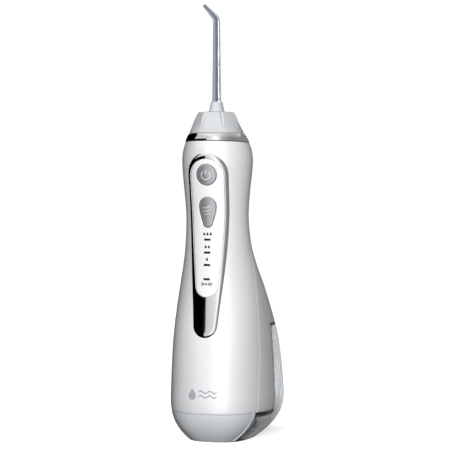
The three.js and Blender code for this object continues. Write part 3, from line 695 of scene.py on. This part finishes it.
def panel_buttons(material, mark):
    """The round power button and the drop-shaped mode button, each with its raised symbol."""
    round_cap, drop_cap = circle(0, POWER_Z, POWER_RADIUS), keyhole(**MODE)
    power_top, mode_top = button_height(round_cap, 0.25), button_height(drop_cap, 0.2)
    button("power_button", round_cap, power_top, "power", material)
    button("mode_button", drop_cap, mode_top, "mode", material)
    ring = arc_band(0, POWER_Z - 0.2, 3.0, 0.55, math.radians(125), math.radians(415))
    bar = rounded_bar(0, POWER_Z + 1.9, 0.28, 1.7, 0.2)
    printed("power_symbol", [ring, bar], power_top, "power", mark, thickness=0.08)
    waves = [wave_band(0, 159.6 - 2.3 * k, 2.9 - 0.5 * k, 0.5, 0.5) for k in range(3)]
    printed("mode_symbol", waves, mode_top, "mode", mark, thickness=0.08)


def led_windows(material):
    """Four dark light pipes, just proud of the inlay."""
    def flat_top(p):
        return 0.52 + 0 * p[:, 0]

    for level, z in LED_HEIGHTS.items():
        bar = rounded_bar(0, z, *LED_HALF)
        made = relief(f"led_window_{level}", bar, [], flat_top, 1.4, 0.5, rims=(0.1,))
        place(made, "handle", material, [f"led_window_{level}"])


# ---------- printed symbols ----------
def droplet(x, z, size):
    """A water drop, point up."""
    a = np.linspace(math.radians(-215), math.radians(35), 22)
    radius = size * 0.36
    low = z - size / 2 + radius
    arc = np.stack([x + radius * np.cos(a), low + radius * np.sin(a)], -1)
    return np.concatenate([arc, [(x, z + size / 2)]])


def arc_band(x, z, radius, width, start, end):
    """A curved stroke."""
    a = np.linspace(start, end, 40)
    way = np.stack([np.cos(a), np.sin(a)], -1)
    outer, inner = ((x, z) + (radius + side * width / 2) * way for side in (1, -1))
    return np.concatenate([outer, inner[::-1]])


def wave_band(x, z, half, rise, width, waves=1.0):
    """A wavy stroke."""
    u = np.linspace(-1, 1, 30)
    middle = z + rise * np.sin(u * math.pi * waves)
    line = [np.stack([x + half * u, middle + side * width / 2], -1) for side in (-1, 1)]
    return np.concatenate([line[0], line[1][::-1]])


def printed(name, loops, height, body, material, holes=(), thickness=0.03):
    """Flat shapes on a surface that stands height(points) over the body, as one piece."""
    def top(p):
        return height(p) + thickness

    parts = []
    for loop in loops:
        inner = [h for h in holes if inside(h[:1], loop)[0]]
        parts.append(relief("shape", loop, inner, top, 0.0, 0.5, rims=(0.1,)))
    return place(join(name, *parts), body, material)


def panel_symbols(material):
    """One drop for low pressure, two for medium, three for high, and a battery by the charge light."""
    loops = []
    for level, count in (("high", 3), ("medium", 2), ("low", 1)):
        z = LED_HEIGHTS[level] + 4.0
        loops += [droplet(2.3 * (k - (count - 1) / 2), z, 2.3) for k in range(count)]
    z = LED_HEIGHTS["charge"] - 3.3
    case, hollow = rounded_bar(-0.3, z, 3.4, 1.35, 0.5), rounded_bar(-0.3, z, 3.05, 1.0, 0.3)
    loops += [case, rounded_bar(3.6, z, 0.35, 0.6, 0.2)]
    loops += [rounded_bar(x, z, 0.65, 0.62, 0.15) for x in (-2.3, -0.3, 1.7)]
    return printed("panel_symbols", loops, inlay_height, "handle", material, [hollow])


def front_mark(material):
    """A generic drop and two waves, low on the front."""
    drop = droplet(-7.6, 33.6, 7.6)
    waves = [wave_band(3.4, z, 6.4, 0.75, 0.95, 2.0) for z in (35.2, 32.2)]

    def on_the_shell(p):
        return 0 * p[:, 0]

    return printed("front_mark", [drop, *waves], on_the_shell, "handle", material)


# ---------- collar, hub and nozzle ----------
LOBES = 7
COLLAR_LOW, COLLAR_TOP = RING_TOP + GAP, 224.0
COLLAR_RADII = np.array([[0.0, 18.75], [0.22, 17.25], [0.5, 15.75], [0.78, 14.2], [1.0, 12.5]])
FIRST_GROOVE = math.radians(-90 + 35.4)  # -90 degrees is the front
HUB_TOP, HUB_BORE = 231.2, 3.4
HUB_CONE = [(5.75, COLLAR_TOP), (5.3, 224.9), (4.85, 226.4), (4.5, 228.2), (4.2, 230.0), (3.95, 230.7)]
NOZZLE_BOTTOM, NOZZLE_BEND, BEND_RADIUS = 182.6, 285.5, 5.5
NOZZLE_TAPER = np.array([[190, 3.05], [231, 3.05], [262, 2.65], [NOZZLE_BEND, 2.4]])
BEND_TURN, TIP_LENGTH = math.radians(43), 10.6
TIP_START, TIP_END = 2.1, 1.15  # the nozzle's radius after the bend and at its end
NOZZLE_HEADING = math.radians(205)
NOZZLE_BORE, NOZZLE_JET = 0.8, 0.5


def collar(material):
    """The seven-sided grip that turns the nozzle, with a groove that deepens upwards at each corner."""
    per_lobe, rows = 56, 44
    around = LOBES * per_lobe
    angle = round_trip(around)[None, :]
    lobe = 2 * math.pi / LOBES
    off = (angle - FIRST_GROOVE + lobe / 2) % lobe - lobe / 2
    t = np.linspace(0, 1, rows)[:, None]
    radius = hermite(COLLAR_RADII[:, 0], COLLAR_RADII[:, 1], t)
    facet = math.cos(lobe / 2) / np.cos(lobe / 2 - np.abs(off))
    flat = 1 + 0.75 * smoothstep(t, 0, 0.6) * (facet / 0.955 - 1)
    half_width = np.radians(1.0 + 4.6 * t)
    depth = 1.9 * smoothstep(t, 0.1, 1.0) + 0 * off
    notch = np.clip(1 - np.abs(off) / half_width, 0, 1)
    r = radius * flat - depth * (1 - (1 - notch) ** 1.6) * (notch > 0)
    z = COLLAR_LOW + (COLLAR_TOP - COLLAR_LOW) * t + 0 * angle
    outer = np.stack([r * np.cos(angle), r * np.sin(angle), z], -1)

    hollow = [(7.6, COLLAR_TOP + 0.35), (7.3, COLLAR_TOP), (7.3, 221.5), (9.4, 221.4), (15.6, 211)]
    hollow.append((15.6, COLLAR_LOW))
    inner = [points_at(a * np.cos(angle), a * np.sin(angle), h) for a, h in hollow]
    made = grid("rotation_collar", np.concatenate([outer, *inner, outer[:1]]), closed=True)
    round_edges(tidy(made), 0.3, angle=50, segments=2)
    return place(made, "collar", material, ["rotation_collar"], sharp=40)


def hub(material):
    """The cone that the nozzle leaves by, with the flange that keeps it in the collar."""
    flange = [(HUB_BORE, 200.6), (9.2, 200.6), (9.2, 202.3), (7.0, 202.3)]
    neck = [(7.0, 223.6), (6.6, 223.95), *HUB_CONE, (3.7, HUB_TOP)]
    profile = [(HUB_BORE, HUB_TOP), *flange, *neck]
    made = round_edges(turned("tip_hub", profile, 96), 0.15, angle=50)
    return place(made, "collar", material, ["tip_hub"], sharp=40)


def nozzle_path():
    """Stations up the nozzle: how far it leans to the side, its height, its lean and its radius."""
    heights, radii = NOZZLE_TAPER.T
    upright = [(0, NOZZLE_BOTTOM, 0, 2.7), (0, NOZZLE_BOTTOM + 0.6, 0, radii[0])]
    for z in np.linspace(heights[0], NOZZLE_BEND, 60):
        upright.append((0, z, 0, np.interp(z, heights, radii)))
    bend = []
    for lean in np.linspace(0, BEND_TURN, 18)[1:]:
        side, z = BEND_RADIUS * (1 - math.cos(lean)), NOZZLE_BEND + BEND_RADIUS * math.sin(lean)
        bend.append((side, z, lean, radii[-1] + (TIP_START - radii[-1]) * lean / BEND_TURN))
    tip = []
    for s in np.linspace(0, TIP_LENGTH, 14)[1:]:
        radius = TIP_START + (TIP_END - TIP_START) * s / TIP_LENGTH
        tip.append((side + s * math.sin(BEND_TURN), z + s * math.cos(BEND_TURN), BEND_TURN, radius))
    return upright + bend + tip


def nozzle_ring(station, radius):
    """A ring of points square to the nozzle's path."""
    side, z, lean, _ = station
    a = round_trip(48)[:, None]
    out = np.array([math.cos(NOZZLE_HEADING), math.sin(NOZZLE_HEADING), 0])
    across = np.array([-out[1], out[0], 0])
    along = out * math.cos(lean) + np.array([0, 0, -math.sin(lean)])
    middle = out * side + np.array([0, 0, z])
    return middle + radius * (np.cos(a) * along + np.sin(a) * across)


def nozzle(material):
    """The bent tube, whose bore narrows to the jet over its last stations."""
    path = nozzle_path()
    outer = [nozzle_ring(s, s[3]) for s in path]
    end = path[-1]
    lip = [nozzle_ring(end, end[3] - 0.12)]
    widening = (NOZZLE_BORE - NOZZLE_JET) / 14
    to_end = range(len(path) - 1, -1, -1)
    bore = [nozzle_ring(s, min(NOZZLE_BORE, NOZZLE_JET + widening * k)) for k, s in zip(to_end, path)]
    rings = np.array([*outer, *lip, *reversed(bore), outer[0]])
    made = tidy(grid("nozzle_tip", rings, closed=True))
    return place(made, "tip", material, ["nozzle_tip"], sharp=50)


# ---------- back of the handle ----------
CHARGE_Y, CHARGE_Z, CHARGE_LEAN, CHARGE_RADIUS = 41.4, 104.0, math.radians(29.5), 7.5
CONTACTS = {"left": -3.2, "right": 3.2}
EJECT_Z, EJECT_HALF = 194.5, (6.5, 5.0)
SPRING_RADIUS, SPRING_TURNS, SPRING_WIRE = 2.1, 5, 0.32
SPRING_FRONT, SPRING_REAR, SPRING_Z = 6.9, 17.9, 190.6


def along_charge(depth, x=0.0):
    """A point on the charging port's axis, or level with it."""
    return x, CHARGE_Y + depth * math.cos(CHARGE_LEAN), CHARGE_Z + depth * math.sin(CHARGE_LEAN)


def charge_port(material, metal):
    """The round black recess at the back, with its two brass contacts."""
    pad = rod("charge_port", along_charge(-4), along_charge(0.5), CHARGE_RADIUS, 96)
    round_edges(pad, 0.5, angle=50)
    recess = rod("tool", along_charge(-0.5), along_charge(3), 5.6, 96)
    wells = [rod("tool", along_charge(-6, x), along_charge(3, x), 1.5, 48) for x in CONTACTS.values()]
    cut(pad, recess, *wells)
    place(pad, "handle", material, ["charge_port"])
    for side, x in CONTACTS.items():
        pin = rod(f"charge_contact_{side}", along_charge(-5, x), along_charge(-0.7, x), 1.2, 48)
        place(round_edges(pin, 0.4), "handle", metal, [f"charge_contact_{side}"])


def eject_button(material):
    """The oval button behind the neck, ribbed for the finger, with the flange that keeps it in."""
    outer = ellipse(0, EJECT_Z, *EJECT_HALF)

    def height(p):
        edge = distance_to(p, outer)
        ribs = 0.16 * np.cos(2 * math.pi * (p[:, 1] - EJECT_Z) / 1.9) * smoothstep(edge, 0.9, 1.8)
        return 0.4 + 0.5 * np.sqrt(1 - (1 - np.clip(edge / 0.8, 0, 1)) ** 2) + ribs

    cap = relief("eject_cap", outer, [], height, 2.6, 0.35, +1, rims=(0.08, 0.2, 0.4, 0.7))
    flange = flat_prism(ellipse(0, EJECT_Z, EJECT_HALF[0] + 1.3, EJECT_HALF[1] + 1.3), 18.6, 19.8)
    both = join("eject_button", cap, flange)
    return place(both, "eject", material, ["eject_button"], sharp=50)


def eject_spring(material):
    """The spring behind the eject button."""
    sides = 14
    t = np.linspace(0, 1, 240)
    turn = 2 * math.pi * SPRING_TURNS * t
    outward_ray = np.stack([np.cos(turn), 0 * turn, np.sin(turn)], -1)
    axis = np.stack([0 * t, SPRING_FRONT + (SPRING_REAR - SPRING_FRONT) * t, SPRING_Z + 0 * t], -1)
    middle = axis + SPRING_RADIUS * outward_ray
    forward = np.gradient(middle, axis=0)
    forward /= np.linalg.norm(forward, axis=1, keepdims=True)
    across = np.cross(forward, outward_ray)
    a = round_trip(sides)[None, :, None]
    ring = np.cos(a) * outward_ray[:, None] + np.sin(a) * across[:, None]
    rings = middle[:, None] + SPRING_WIRE * ring
    ends = [np.repeat(middle[k][None, None], sides, 1) for k in (0, -1)]
    spring = tidy(grid("eject_spring_coil", np.concatenate([ends[0], rings, ends[1]]), closed=True))
    place(spring, "handle", material, ["eject_spring"], sharp=60)
    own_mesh(spring)


# ---------- reservoir ----------
DOOR_HALF, DOOR_LOW, DOOR_HIGH = 13.0, 50.0, 72.0
HINGE_Y, HINGE_Z, KNUCKLE = 69.5, 48.6, 2.3
KNUCKLES = [(-9, -3), (3, 9)]  # of the door, from x to x
LUGS = [(-12, -9 - GAP), (-3 + GAP, 3 - GAP), (9 + GAP, 12)]  # of the reservoir
PIN_HOLE = 1.3


def reservoir(material):
    """The clear tank and the shallow tray before it, as one closed wall with a hole for the door."""
    rear, side, front = 107, 18, 71
    t_rear = np.linspace(0, 1, rear)
    t_side = np.linspace(0, 1, side + 1)[1:]
    t_front = np.linspace(0, 1, front + 1)[1:]
    plane = TANK_FRONT + HALF_GAP

    def tray_ring(z):
        front_y = seam_at(z) + HALF_GAP
        corner, seam = angle_at_y(plane, np.array(z)), angle_at_y(front_y, np.array(z))
        back = corner + t_rear * (math.pi - 2 * corner)
        left = math.pi - corner + t_side * (corner - seam)
        arc = body_point(np.concatenate([back, left]), z)
        line = np.stack([arc[-1, 0] * (1 - 2 * t_front), np.full(front, front_y), np.full(front, z)], -1)
        right = body_point(seam + t_side * (corner - seam), z)[:-1]
        return np.concatenate([arc, line, right])

    def tank_ring(z):
        corner = angle_at_y(plane, np.array(z))
        back = body_point(corner + t_rear * (math.pi - 2 * corner), z)
        count = side + front + side - 1
        share = np.linspace(0, 1, count + 2)[1:-1]
        line = np.stack([back[-1, 0] * (1 - 2 * share), np.full(count, plane), np.full(count, z)], -1)
        return np.concatenate([back, line])

    tray = [tray_ring(z) for z in TRAY_TOP * np.linspace(0, 1, 26) ** 1.25]
    tank = [tank_ring(z) for z in np.linspace(TRAY_TOP, TANK_TOP - HALF_GAP, 46)]
    rings = np.array(tray + tank)
    rows, columns = rings.shape[:2]
    faces = grid_faces(rows, columns, closed=True)
    faces.append(tuple(reversed(range(columns))))
    faces.append(tuple(range((rows - 1) * columns, rows * columns)))
    made = tidy(as_object("reservoir", rings, faces))
    round_edges(made, 0.6, angle=38)
    thicken(made, TANK_WALL)
    door = box_of("tool", (-DOOR_HALF, 45, DOOR_LOW), (DOOR_HALF, 90, DOOR_HIGH))
    port = rod("tool", (PORT_X, 15, PORT_Z), (PORT_X, 24, PORT_Z), 3.4, 64)
    hinge = [on_hinge("tool", x0 - GAP, x1 + GAP, KNUCKLE + GAP) for x0, x1 in KNUCKLES]
    cut(made, door, port, *hinge)
    return place(made, "tank", material, ["reservoir"], sharp=30)


def on_hinge(name, x0, x1, radius):
    """A round bar along the door's hinge."""
    return rod(name, (x0, HINGE_Y, HINGE_Z), (x1, HINGE_Y, HINGE_Z), radius, 40)


def tank_lugs(material):
    """The three barrels on the reservoir that hold the hinge's pin."""
    parts = []
    for x0, x1 in LUGS:
        web = box_of("web", (x0, 66.6, HINGE_Z - 2), (x1, HINGE_Y, HINGE_Z))
        lug = join("lug", on_hinge("barrel", x0, x1, KNUCKLE), web)
        cut(lug, on_hinge("tool", -20, 20, PIN_HOLE))
        parts.append(lug)
    return place(join("tank_hinge_lugs", *parts), "tank", material)


def fill_door(material):
    """The clear flap that water is poured in by, with its two hinge arms."""
    x = np.linspace(-DOOR_HALF + GAP, DOOR_HALF - GAP, 50)[None, :]
    z = np.linspace(DOOR_LOW + 2 * GAP, DOOR_HIGH - GAP, 44)[:, None]
    points = points_at(x, surface_y(x, z, +1), z)
    panel = thicken(tidy(grid("panel", points)), TANK_WALL)
    outward(panel)
    round_edges(panel, 0.4, angle=50)
    parts = [panel]
    for x0, x1 in KNUCKLES:
        arm = box_of("arm", (x0, 66.4, DOOR_LOW + 0.4), (x1, HINGE_Y, 51.6))
        knuckle = join("knuckle", on_hinge("barrel", x0, x1, KNUCKLE), arm)
        cut(knuckle, on_hinge("tool", -20, 20, PIN_HOLE))
        parts.append(knuckle)
    return place(join("fill_door", *parts), "door", material, ["fill_door"])


def outward(obj):
    """Turns an open rear sheet so that its wall is added inwards."""
    bm = bmesh.new()
    bm.from_mesh(obj.data)
    if sum(f.normal.y for f in bm.faces) < 0:
        bmesh.ops.reverse_faces(bm, faces=bm.faces)
    bm.to_mesh(obj.data)
    bm.free()


# ---------- materials ----------
def noise(mat, scale, detail):
    """A noise value that is fixed to the piece."""
    nodes, links = mat.node_tree.nodes, mat.node_tree.links
    made = nodes.new("ShaderNodeTexNoise")
    made.inputs["Scale"].default_value = scale
    made.inputs["Detail"].default_value = detail
    links.new(nodes.new("ShaderNodeTexCoord").outputs["Object"], made.inputs["Vector"])
    return made.outputs["Fac"]


def plastic(name, colour, roughness, grain=0.0, grain_scale=900.0, shift=0.03, **sockets):
    """Moulded plastic: a faint drift of shade, a fine grain, and roughness that varies a little."""
    mat = bpy.data.materials.new(name)
    mat.use_nodes = True
    nodes, links = mat.node_tree.nodes, mat.node_tree.links
    shader = nodes["Principled BSDF"]
    drift, fine = noise(mat, 35, 3), noise(mat, grain_scale, 2)
    tint = nodes.new("ShaderNodeMix")
    tint.data_type = "RGBA"
    tint.inputs["A"].default_value = (*[c * (1 - shift) for c in colour], 1)
    tint.inputs["B"].default_value = (*[min(1, c * (1 + shift)) for c in colour], 1)
    links.new(drift, tint.inputs["Factor"])
    links.new(tint.outputs["Result"], shader.inputs["Base Color"])
    gloss = nodes.new("ShaderNodeMapRange")
    gloss.inputs["To Min"].default_value = roughness * 0.88
    gloss.inputs["To Max"].default_value = roughness * 1.12
    links.new(fine, gloss.inputs["Value"])
    links.new(gloss.outputs["Result"], shader.inputs["Roughness"])
    if grain:
        bump = nodes.new("ShaderNodeBump")
        bump.inputs["Strength"].default_value = grain
        bump.inputs["Distance"].default_value = 0.00005
        links.new(fine, bump.inputs["Height"])
        links.new(bump.outputs["Normal"], shader.inputs["Normal"])
    for socket, value in sockets.items():
        shader.inputs[socket.replace("_", " ")].default_value = value
    return mat


def painted_shade_below(mat, low, high, least):
    """Painted shade: deepens a clear plastic's tint from high down to low, both in mm, to least of its
    brightness, for the dark that shows through the tray under the handle.
    """
    nodes, links = mat.node_tree.nodes, mat.node_tree.links
    colour = nodes["Principled BSDF"].inputs["Base Color"]
    split = nodes.new("ShaderNodeSeparateXYZ")
    links.new(nodes.new("ShaderNodeTexCoord").outputs["Object"], split.inputs["Vector"])
    depth = nodes.new("ShaderNodeMapRange")
    depth.inputs["From Min"].default_value, depth.inputs["From Max"].default_value = low * MM, high * MM
    depth.inputs["To Min"].default_value = least
    links.new(split.outputs["Z"], depth.inputs["Value"])
    shade = nodes.new("ShaderNodeVectorMath")
    shade.operation = "SCALE"
    links.new(colour.links[0].from_socket, shade.inputs[0])
    links.new(depth.outputs["Result"], shade.inputs["Scale"])
    links.new(shade.outputs["Vector"], colour)
    return mat


CLEAR = {"shift": 0.01, "Transmission_Weight": 1.0}
MATERIALS = {
    "pearl": plastic(
        "pearl_silver", (0.885, 0.9, 0.92), 0.42, 0.05, 2500, 0.01,
        Metallic=0.42, Coat_Weight=0.4, Coat_Roughness=0.1,
    ),
    "grey_plastic": plastic("satin_grey", (0.6, 0.62, 0.645), 0.38, 0.12, Metallic=0.15),
    "light_grey_plastic": plastic("satin_light_grey", (0.5, 0.513, 0.525), 0.42, 0.15),
    "chrome": plastic("chrome", (0.93, 0.93, 0.93), 0.05, 0.0, shift=0.005, Metallic=1.0),
    "white_plastic": plastic(
        "gloss_white", (0.7, 0.705, 0.72), 0.22, 0.04, shift=0.01, Coat_Weight=0.5, Coat_Roughness=0.05,
    ),
    "button_silver": plastic("button_silver", (0.52, 0.525, 0.55), 0.34, 0.1, 1800, Metallic=0.75),
    "button_mark": plastic("button_mark", (0.56, 0.565, 0.58), 0.35, 0.1, 1800),
    "print_ink": plastic("print_ink", (0.03, 0.03, 0.033), 0.5, 0.1),
    "grey_ink": plastic("grey_ink", (0.3, 0.31, 0.33), 0.5, 0.1),
    "indicator": plastic("dark_light_pipe", (0.012, 0.012, 0.014), 0.18, shift=0.2),
    "black_rubber": plastic("black_rubber", (0.02, 0.02, 0.022), 0.75, 0.4, shift=0.2),
    "black_plastic": plastic("black_plastic", (0.03, 0.03, 0.033), 0.4, 0.2, shift=0.1),
    "steel": plastic("drawn_steel", (0.62, 0.63, 0.65), 0.28, 0.1, Metallic=1.0),
    "nylon": plastic("natural_nylon", (0.76, 0.74, 0.68), 0.5, 0.2, Subsurface_Weight=0.1),
    "brass": plastic("brass", (0.78, 0.6, 0.28), 0.25, 0.1, Metallic=1.0),
    "board_green": plastic("solder_mask", (0.03, 0.15, 0.08), 0.35, 0.2, 300, 0.2),
    "cell_sleeve": plastic("cell_sleeve", (0.06, 0.17, 0.36), 0.25, 0.1),
    "clear_nozzle": plastic("clear_plastic", (0.34, 0.375, 0.43), 0.02, **CLEAR, IOR=1.49),
    # the tank's tint darkens towards its foot as painted shade, for the dark seen through the tray
    "clear_tank": painted_shade_below(
        plastic("smoky_clear_plastic_painted_shade", (0.66, 0.68, 0.695), 0.02, **CLEAR, IOR=1.45),
        low=TRAY_TOP * 0.3, high=TRAY_TOP * 1.6, least=0.45,
    ),
}


def build():
    """Every piece that Blender adds to the CAD."""
    m = MATERIALS
    front_shell(m["pearl"])
    rear_shell(m["pearl"])
    # the bulkheads' floor takes black plastic as painted shade over the tray
    bulkheads(m["pearl"], m["black_plastic"])
    base_cap(m["grey_plastic"])
    chrome_ring(m["chrome"])
    # painted shade: a black band stands in for the shadow under the chrome ring
    neck_gasket(m["black_rubber"])
    bezel(m["chrome"])
    inlay(m["white_plastic"])
    panel_buttons(m["button_silver"], m["button_mark"])
    led_windows(m["indicator"])
    panel_symbols(m["print_ink"])
    front_mark(m["grey_ink"])
    collar(m["light_grey_plastic"])
    hub(m["light_grey_plastic"])
    nozzle(m["clear_nozzle"])
    charge_port(m["black_plastic"], m["brass"])
    eject_button(m["grey_plastic"])
    eject_spring(m["steel"])
    reservoir(m["clear_tank"])
    tank_lugs(m["clear_tank"])
    fill_door(m["clear_tank"])


def finish_cad_nodes():
    """Every CAD node that stays gets the material of its slot."""
    slots = {row["node"]: row["material_slot"] for row in frame["record"]["subparts"]}
    for name, obj in frame["nodes"].items():
        if not obj.hide_render:
            obj.data.materials.clear()
            obj.data.materials.append(MATERIALS[slots[name]])


# ---------- studio ----------
CAMERA_AZIMUTH = math.radians(20.5)  # to the right of the front
CAMERA_LENS, CAMERA_SENSOR = 152.1, 36
CAMERA_DISTANCE, CAMERA_RISE = 1.3, 0.043
AIM_RIGHT, AIM_HEIGHT = 0.0057, 0.147
CARD_RADIUS, CARD_FOOT, CARD_HEAD = 1.0, -0.5, 0.8
DOME_SHOULDER, DOME_TOP = (0.7, 0.97), (0.02, 1.3)
FLOOR_REACH, FLOOR_DROP = 6000, 0.2


def camera():
    """The camera stands to the right of the front, a little above the object's middle."""
    data = bpy.data.cameras.new("camera")
    data.lens, data.sensor_width = CAMERA_LENS, CAMERA_SENSOR
    data.clip_start, data.clip_end = 0.05, 20
    made = in_scene("camera", data)
    a = CAMERA_AZIMUTH
    right, back = Vector((math.cos(a), math.sin(a), 0)), Vector((math.sin(a), -math.cos(a), 0))
    target = right * AIM_RIGHT + Vector((0, 0, AIM_HEIGHT))
    made.location = target + back * CAMERA_DISTANCE + Vector((0, 0, CAMERA_RISE))
    made.rotation_euler = (target - made.location).to_track_quat("-Z", "Y").to_euler()
    bpy.context.scene.camera = made


def softbox(name, location, target, size, power):
    """A soft light that shows in no reflection and through no clear piece."""
    data = bpy.data.lights.new(name, "AREA")
    data.shape = "RECTANGLE"
    data.size, data.size_y = size
    data.energy = power
    made = in_scene(name, data)
    made.location = location
    made.rotation_euler = (Vector(target) - Vector(location)).to_track_quat("-Z", "Y").to_euler()
    made.visible_glossy = False
    made.visible_transmission = False
    return made


def pieces_of(name, materials):
    """A collection of the pieces made of those materials."""
    found = bpy.data.collections.new(name)
    for obj in bpy.data.objects:
        if obj.type == "MESH" and not obj.get("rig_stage") and obj.active_material.name in materials:
            found.objects.link(obj)
    return found


def card(name, turns, low, high, stops):
    """A lit card that bends round the object between two (radius, height) rings.

    Turns are in degrees from the front, + to the right. Stops are (x, glow), with x across the studio.
    """
    turn = np.radians(np.linspace(*turns, 24))[None, :]
    radius, z = np.array([low, high]).T[:, :, None]
    points = points_at(radius * np.sin(turn), -radius * np.cos(turn), z) / MM
    made = grid(name, points)
    made.data.materials.append(glowing(name, stops))
    made.visible_camera = False
    made.visible_transmission = False
    made.visible_diffuse = False
    made.visible_shadow = False
    made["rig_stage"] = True


def glowing(name, stops):
    """A material that glows by x, as a softbox does from its bright middle to its edges."""
    mat = bpy.data.materials.new(name)
    mat.use_nodes = True
    nodes, links = mat.node_tree.nodes, mat.node_tree.links
    shader = nodes["Principled BSDF"]
    shader.inputs["Base Color"].default_value = (0, 0, 0, 1)
    shader.inputs["Emission Color"].default_value = (1, 1, 1, 1)
    split = nodes.new("ShaderNodeSeparateXYZ")
    links.new(nodes.new("ShaderNodeTexCoord").outputs["Object"], split.inputs["Vector"])
    curve = nodes.new("ShaderNodeFloatCurve")
    span = nodes.new("ShaderNodeMapRange")
    span.inputs["From Min"].default_value, span.inputs["From Max"].default_value = -1, 1
    links.new(split.outputs["X"], span.inputs["Value"])
    links.new(span.outputs["Result"], curve.inputs["Value"])
    links.new(curve.outputs["Value"], shader.inputs["Emission Strength"])
    points = curve.mapping.curves[0].points
    while len(points) < len(stops):
        points.new(0.5, 0.5)
    for point, (x, glow) in zip(points, stops):
        point.location = ((x + 1) / 2, glow)
        point.handle_type = "VECTOR"
    curve.mapping.clip_max_y = 4
    curve.mapping.update()
    return mat


def backdrop():
    """A white world that only the camera and clear pieces see."""
    world = bpy.data.worlds.new("studio")
    world.use_nodes = True
    background = world.node_tree.nodes["Background"]
    background.inputs["Color"].default_value = (1, 1, 1, 1)
    background.inputs["Strength"].default_value = 1.02
    world.cycles_visibility.diffuse = False
    world.cycles_visibility.glossy = False
    bpy.context.scene.world = world
    bpy.context.scene.view_settings.view_transform = "Standard"


def lit_floor():
    """The pale floor, with two lights of its own: one for a soft shadow and one without any."""
    far, z = FLOOR_REACH, -FLOOR_DROP
    corners = [(-far, -far, z), (far, -far, z), (far, far, z), (-far, far, z)]
    floor = as_object("floor", corners, [(0, 1, 2, 3)])
    floor.data.materials.append(plastic("pale_floor", (0.9, 0.9, 0.9), 0.8, shift=0.005))
    floor.visible_diffuse = False
    floor.visible_glossy = False
    floor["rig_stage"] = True
    lit = bpy.data.collections.new("floor_only")
    lit.objects.link(floor)
    light = sun("floor_light", 2.1, lit)
    light.data.angle = math.radians(55)
    light.rotation_euler = (math.radians(20), math.radians(-28), 0)
    sun("floor_fill", 2.4, lit).data.use_shadow = False


def sun(name, energy, lit):
    """A distant light that reaches one collection only."""
    made = in_scene(name, bpy.data.lights.new(name, "SUN"))
    made.data.energy = energy
    made.light_linking.receiver_collection = lit
    return made


def reflections():
    """Cards for the pearl, the chrome and the clear pieces to mirror."""
    low, high = (CARD_RADIUS, CARD_FOOT), (CARD_RADIUS, CARD_HEAD)
    front = [(-0.35, 0.6), (0.0, 0.85), (0.2, 1.15), (0.35, 1.05), (0.6, 0.42), (1.0, 0.2)]
    card("front_card", (-20.5, 95), low, high, front)
    card("side_card", (95, 190), low, high, [(-1.0, 0.2), (1.0, 0.22)])
    card("left_card", (-70, -20.5), (CARD_RADIUS, 0.42), high, [(-1.0, 0.55), (1.0, 0.75)])
    above = [(-1.0, 0.7), (-0.2, 0.95), (0.25, 0.9), (1.0, 0.2)]
    card("high_card", (-81, 190), high, DOME_SHOULDER, above)
    card("top_card", (-180, 180), DOME_SHOULDER, DOME_TOP, above)


def lamps():
    """Soft lights. The nozzle's strip lights nothing else, and the back light leaves clear pieces out."""
    strip = softbox("nozzle_strip", (0.78, -0.19, 0.26), (0, 0, 0.26), (0.34, 0.6), 20)
    strip.visible_glossy = True
    strip.light_linking.receiver_collection = pieces_of("nozzle_only", ["clear_plastic"])
    softbox("key", (0.36, -1.2, 0.42), (0, 0, 0.12), (0.7, 0.7), 26)
    softbox("top_left", (-0.5, -0.35, 1.2), (0, 0, 0.15), (0.8, 0.8), 1)
    back = softbox("back", (-0.5, 1.3, 0.6), (0, 0, 0.12), (1.0, 1.0), 20)
    solid = [mat.name for slot, mat in MATERIALS.items() if not slot.startswith("clear")]
    back.light_linking.receiver_collection = pieces_of("solid_pieces", solid)


build()
finish_cad_nodes()
camera()
backdrop()
lit_floor()
reflections()
lamps()
bpy.context.view_layer.update()
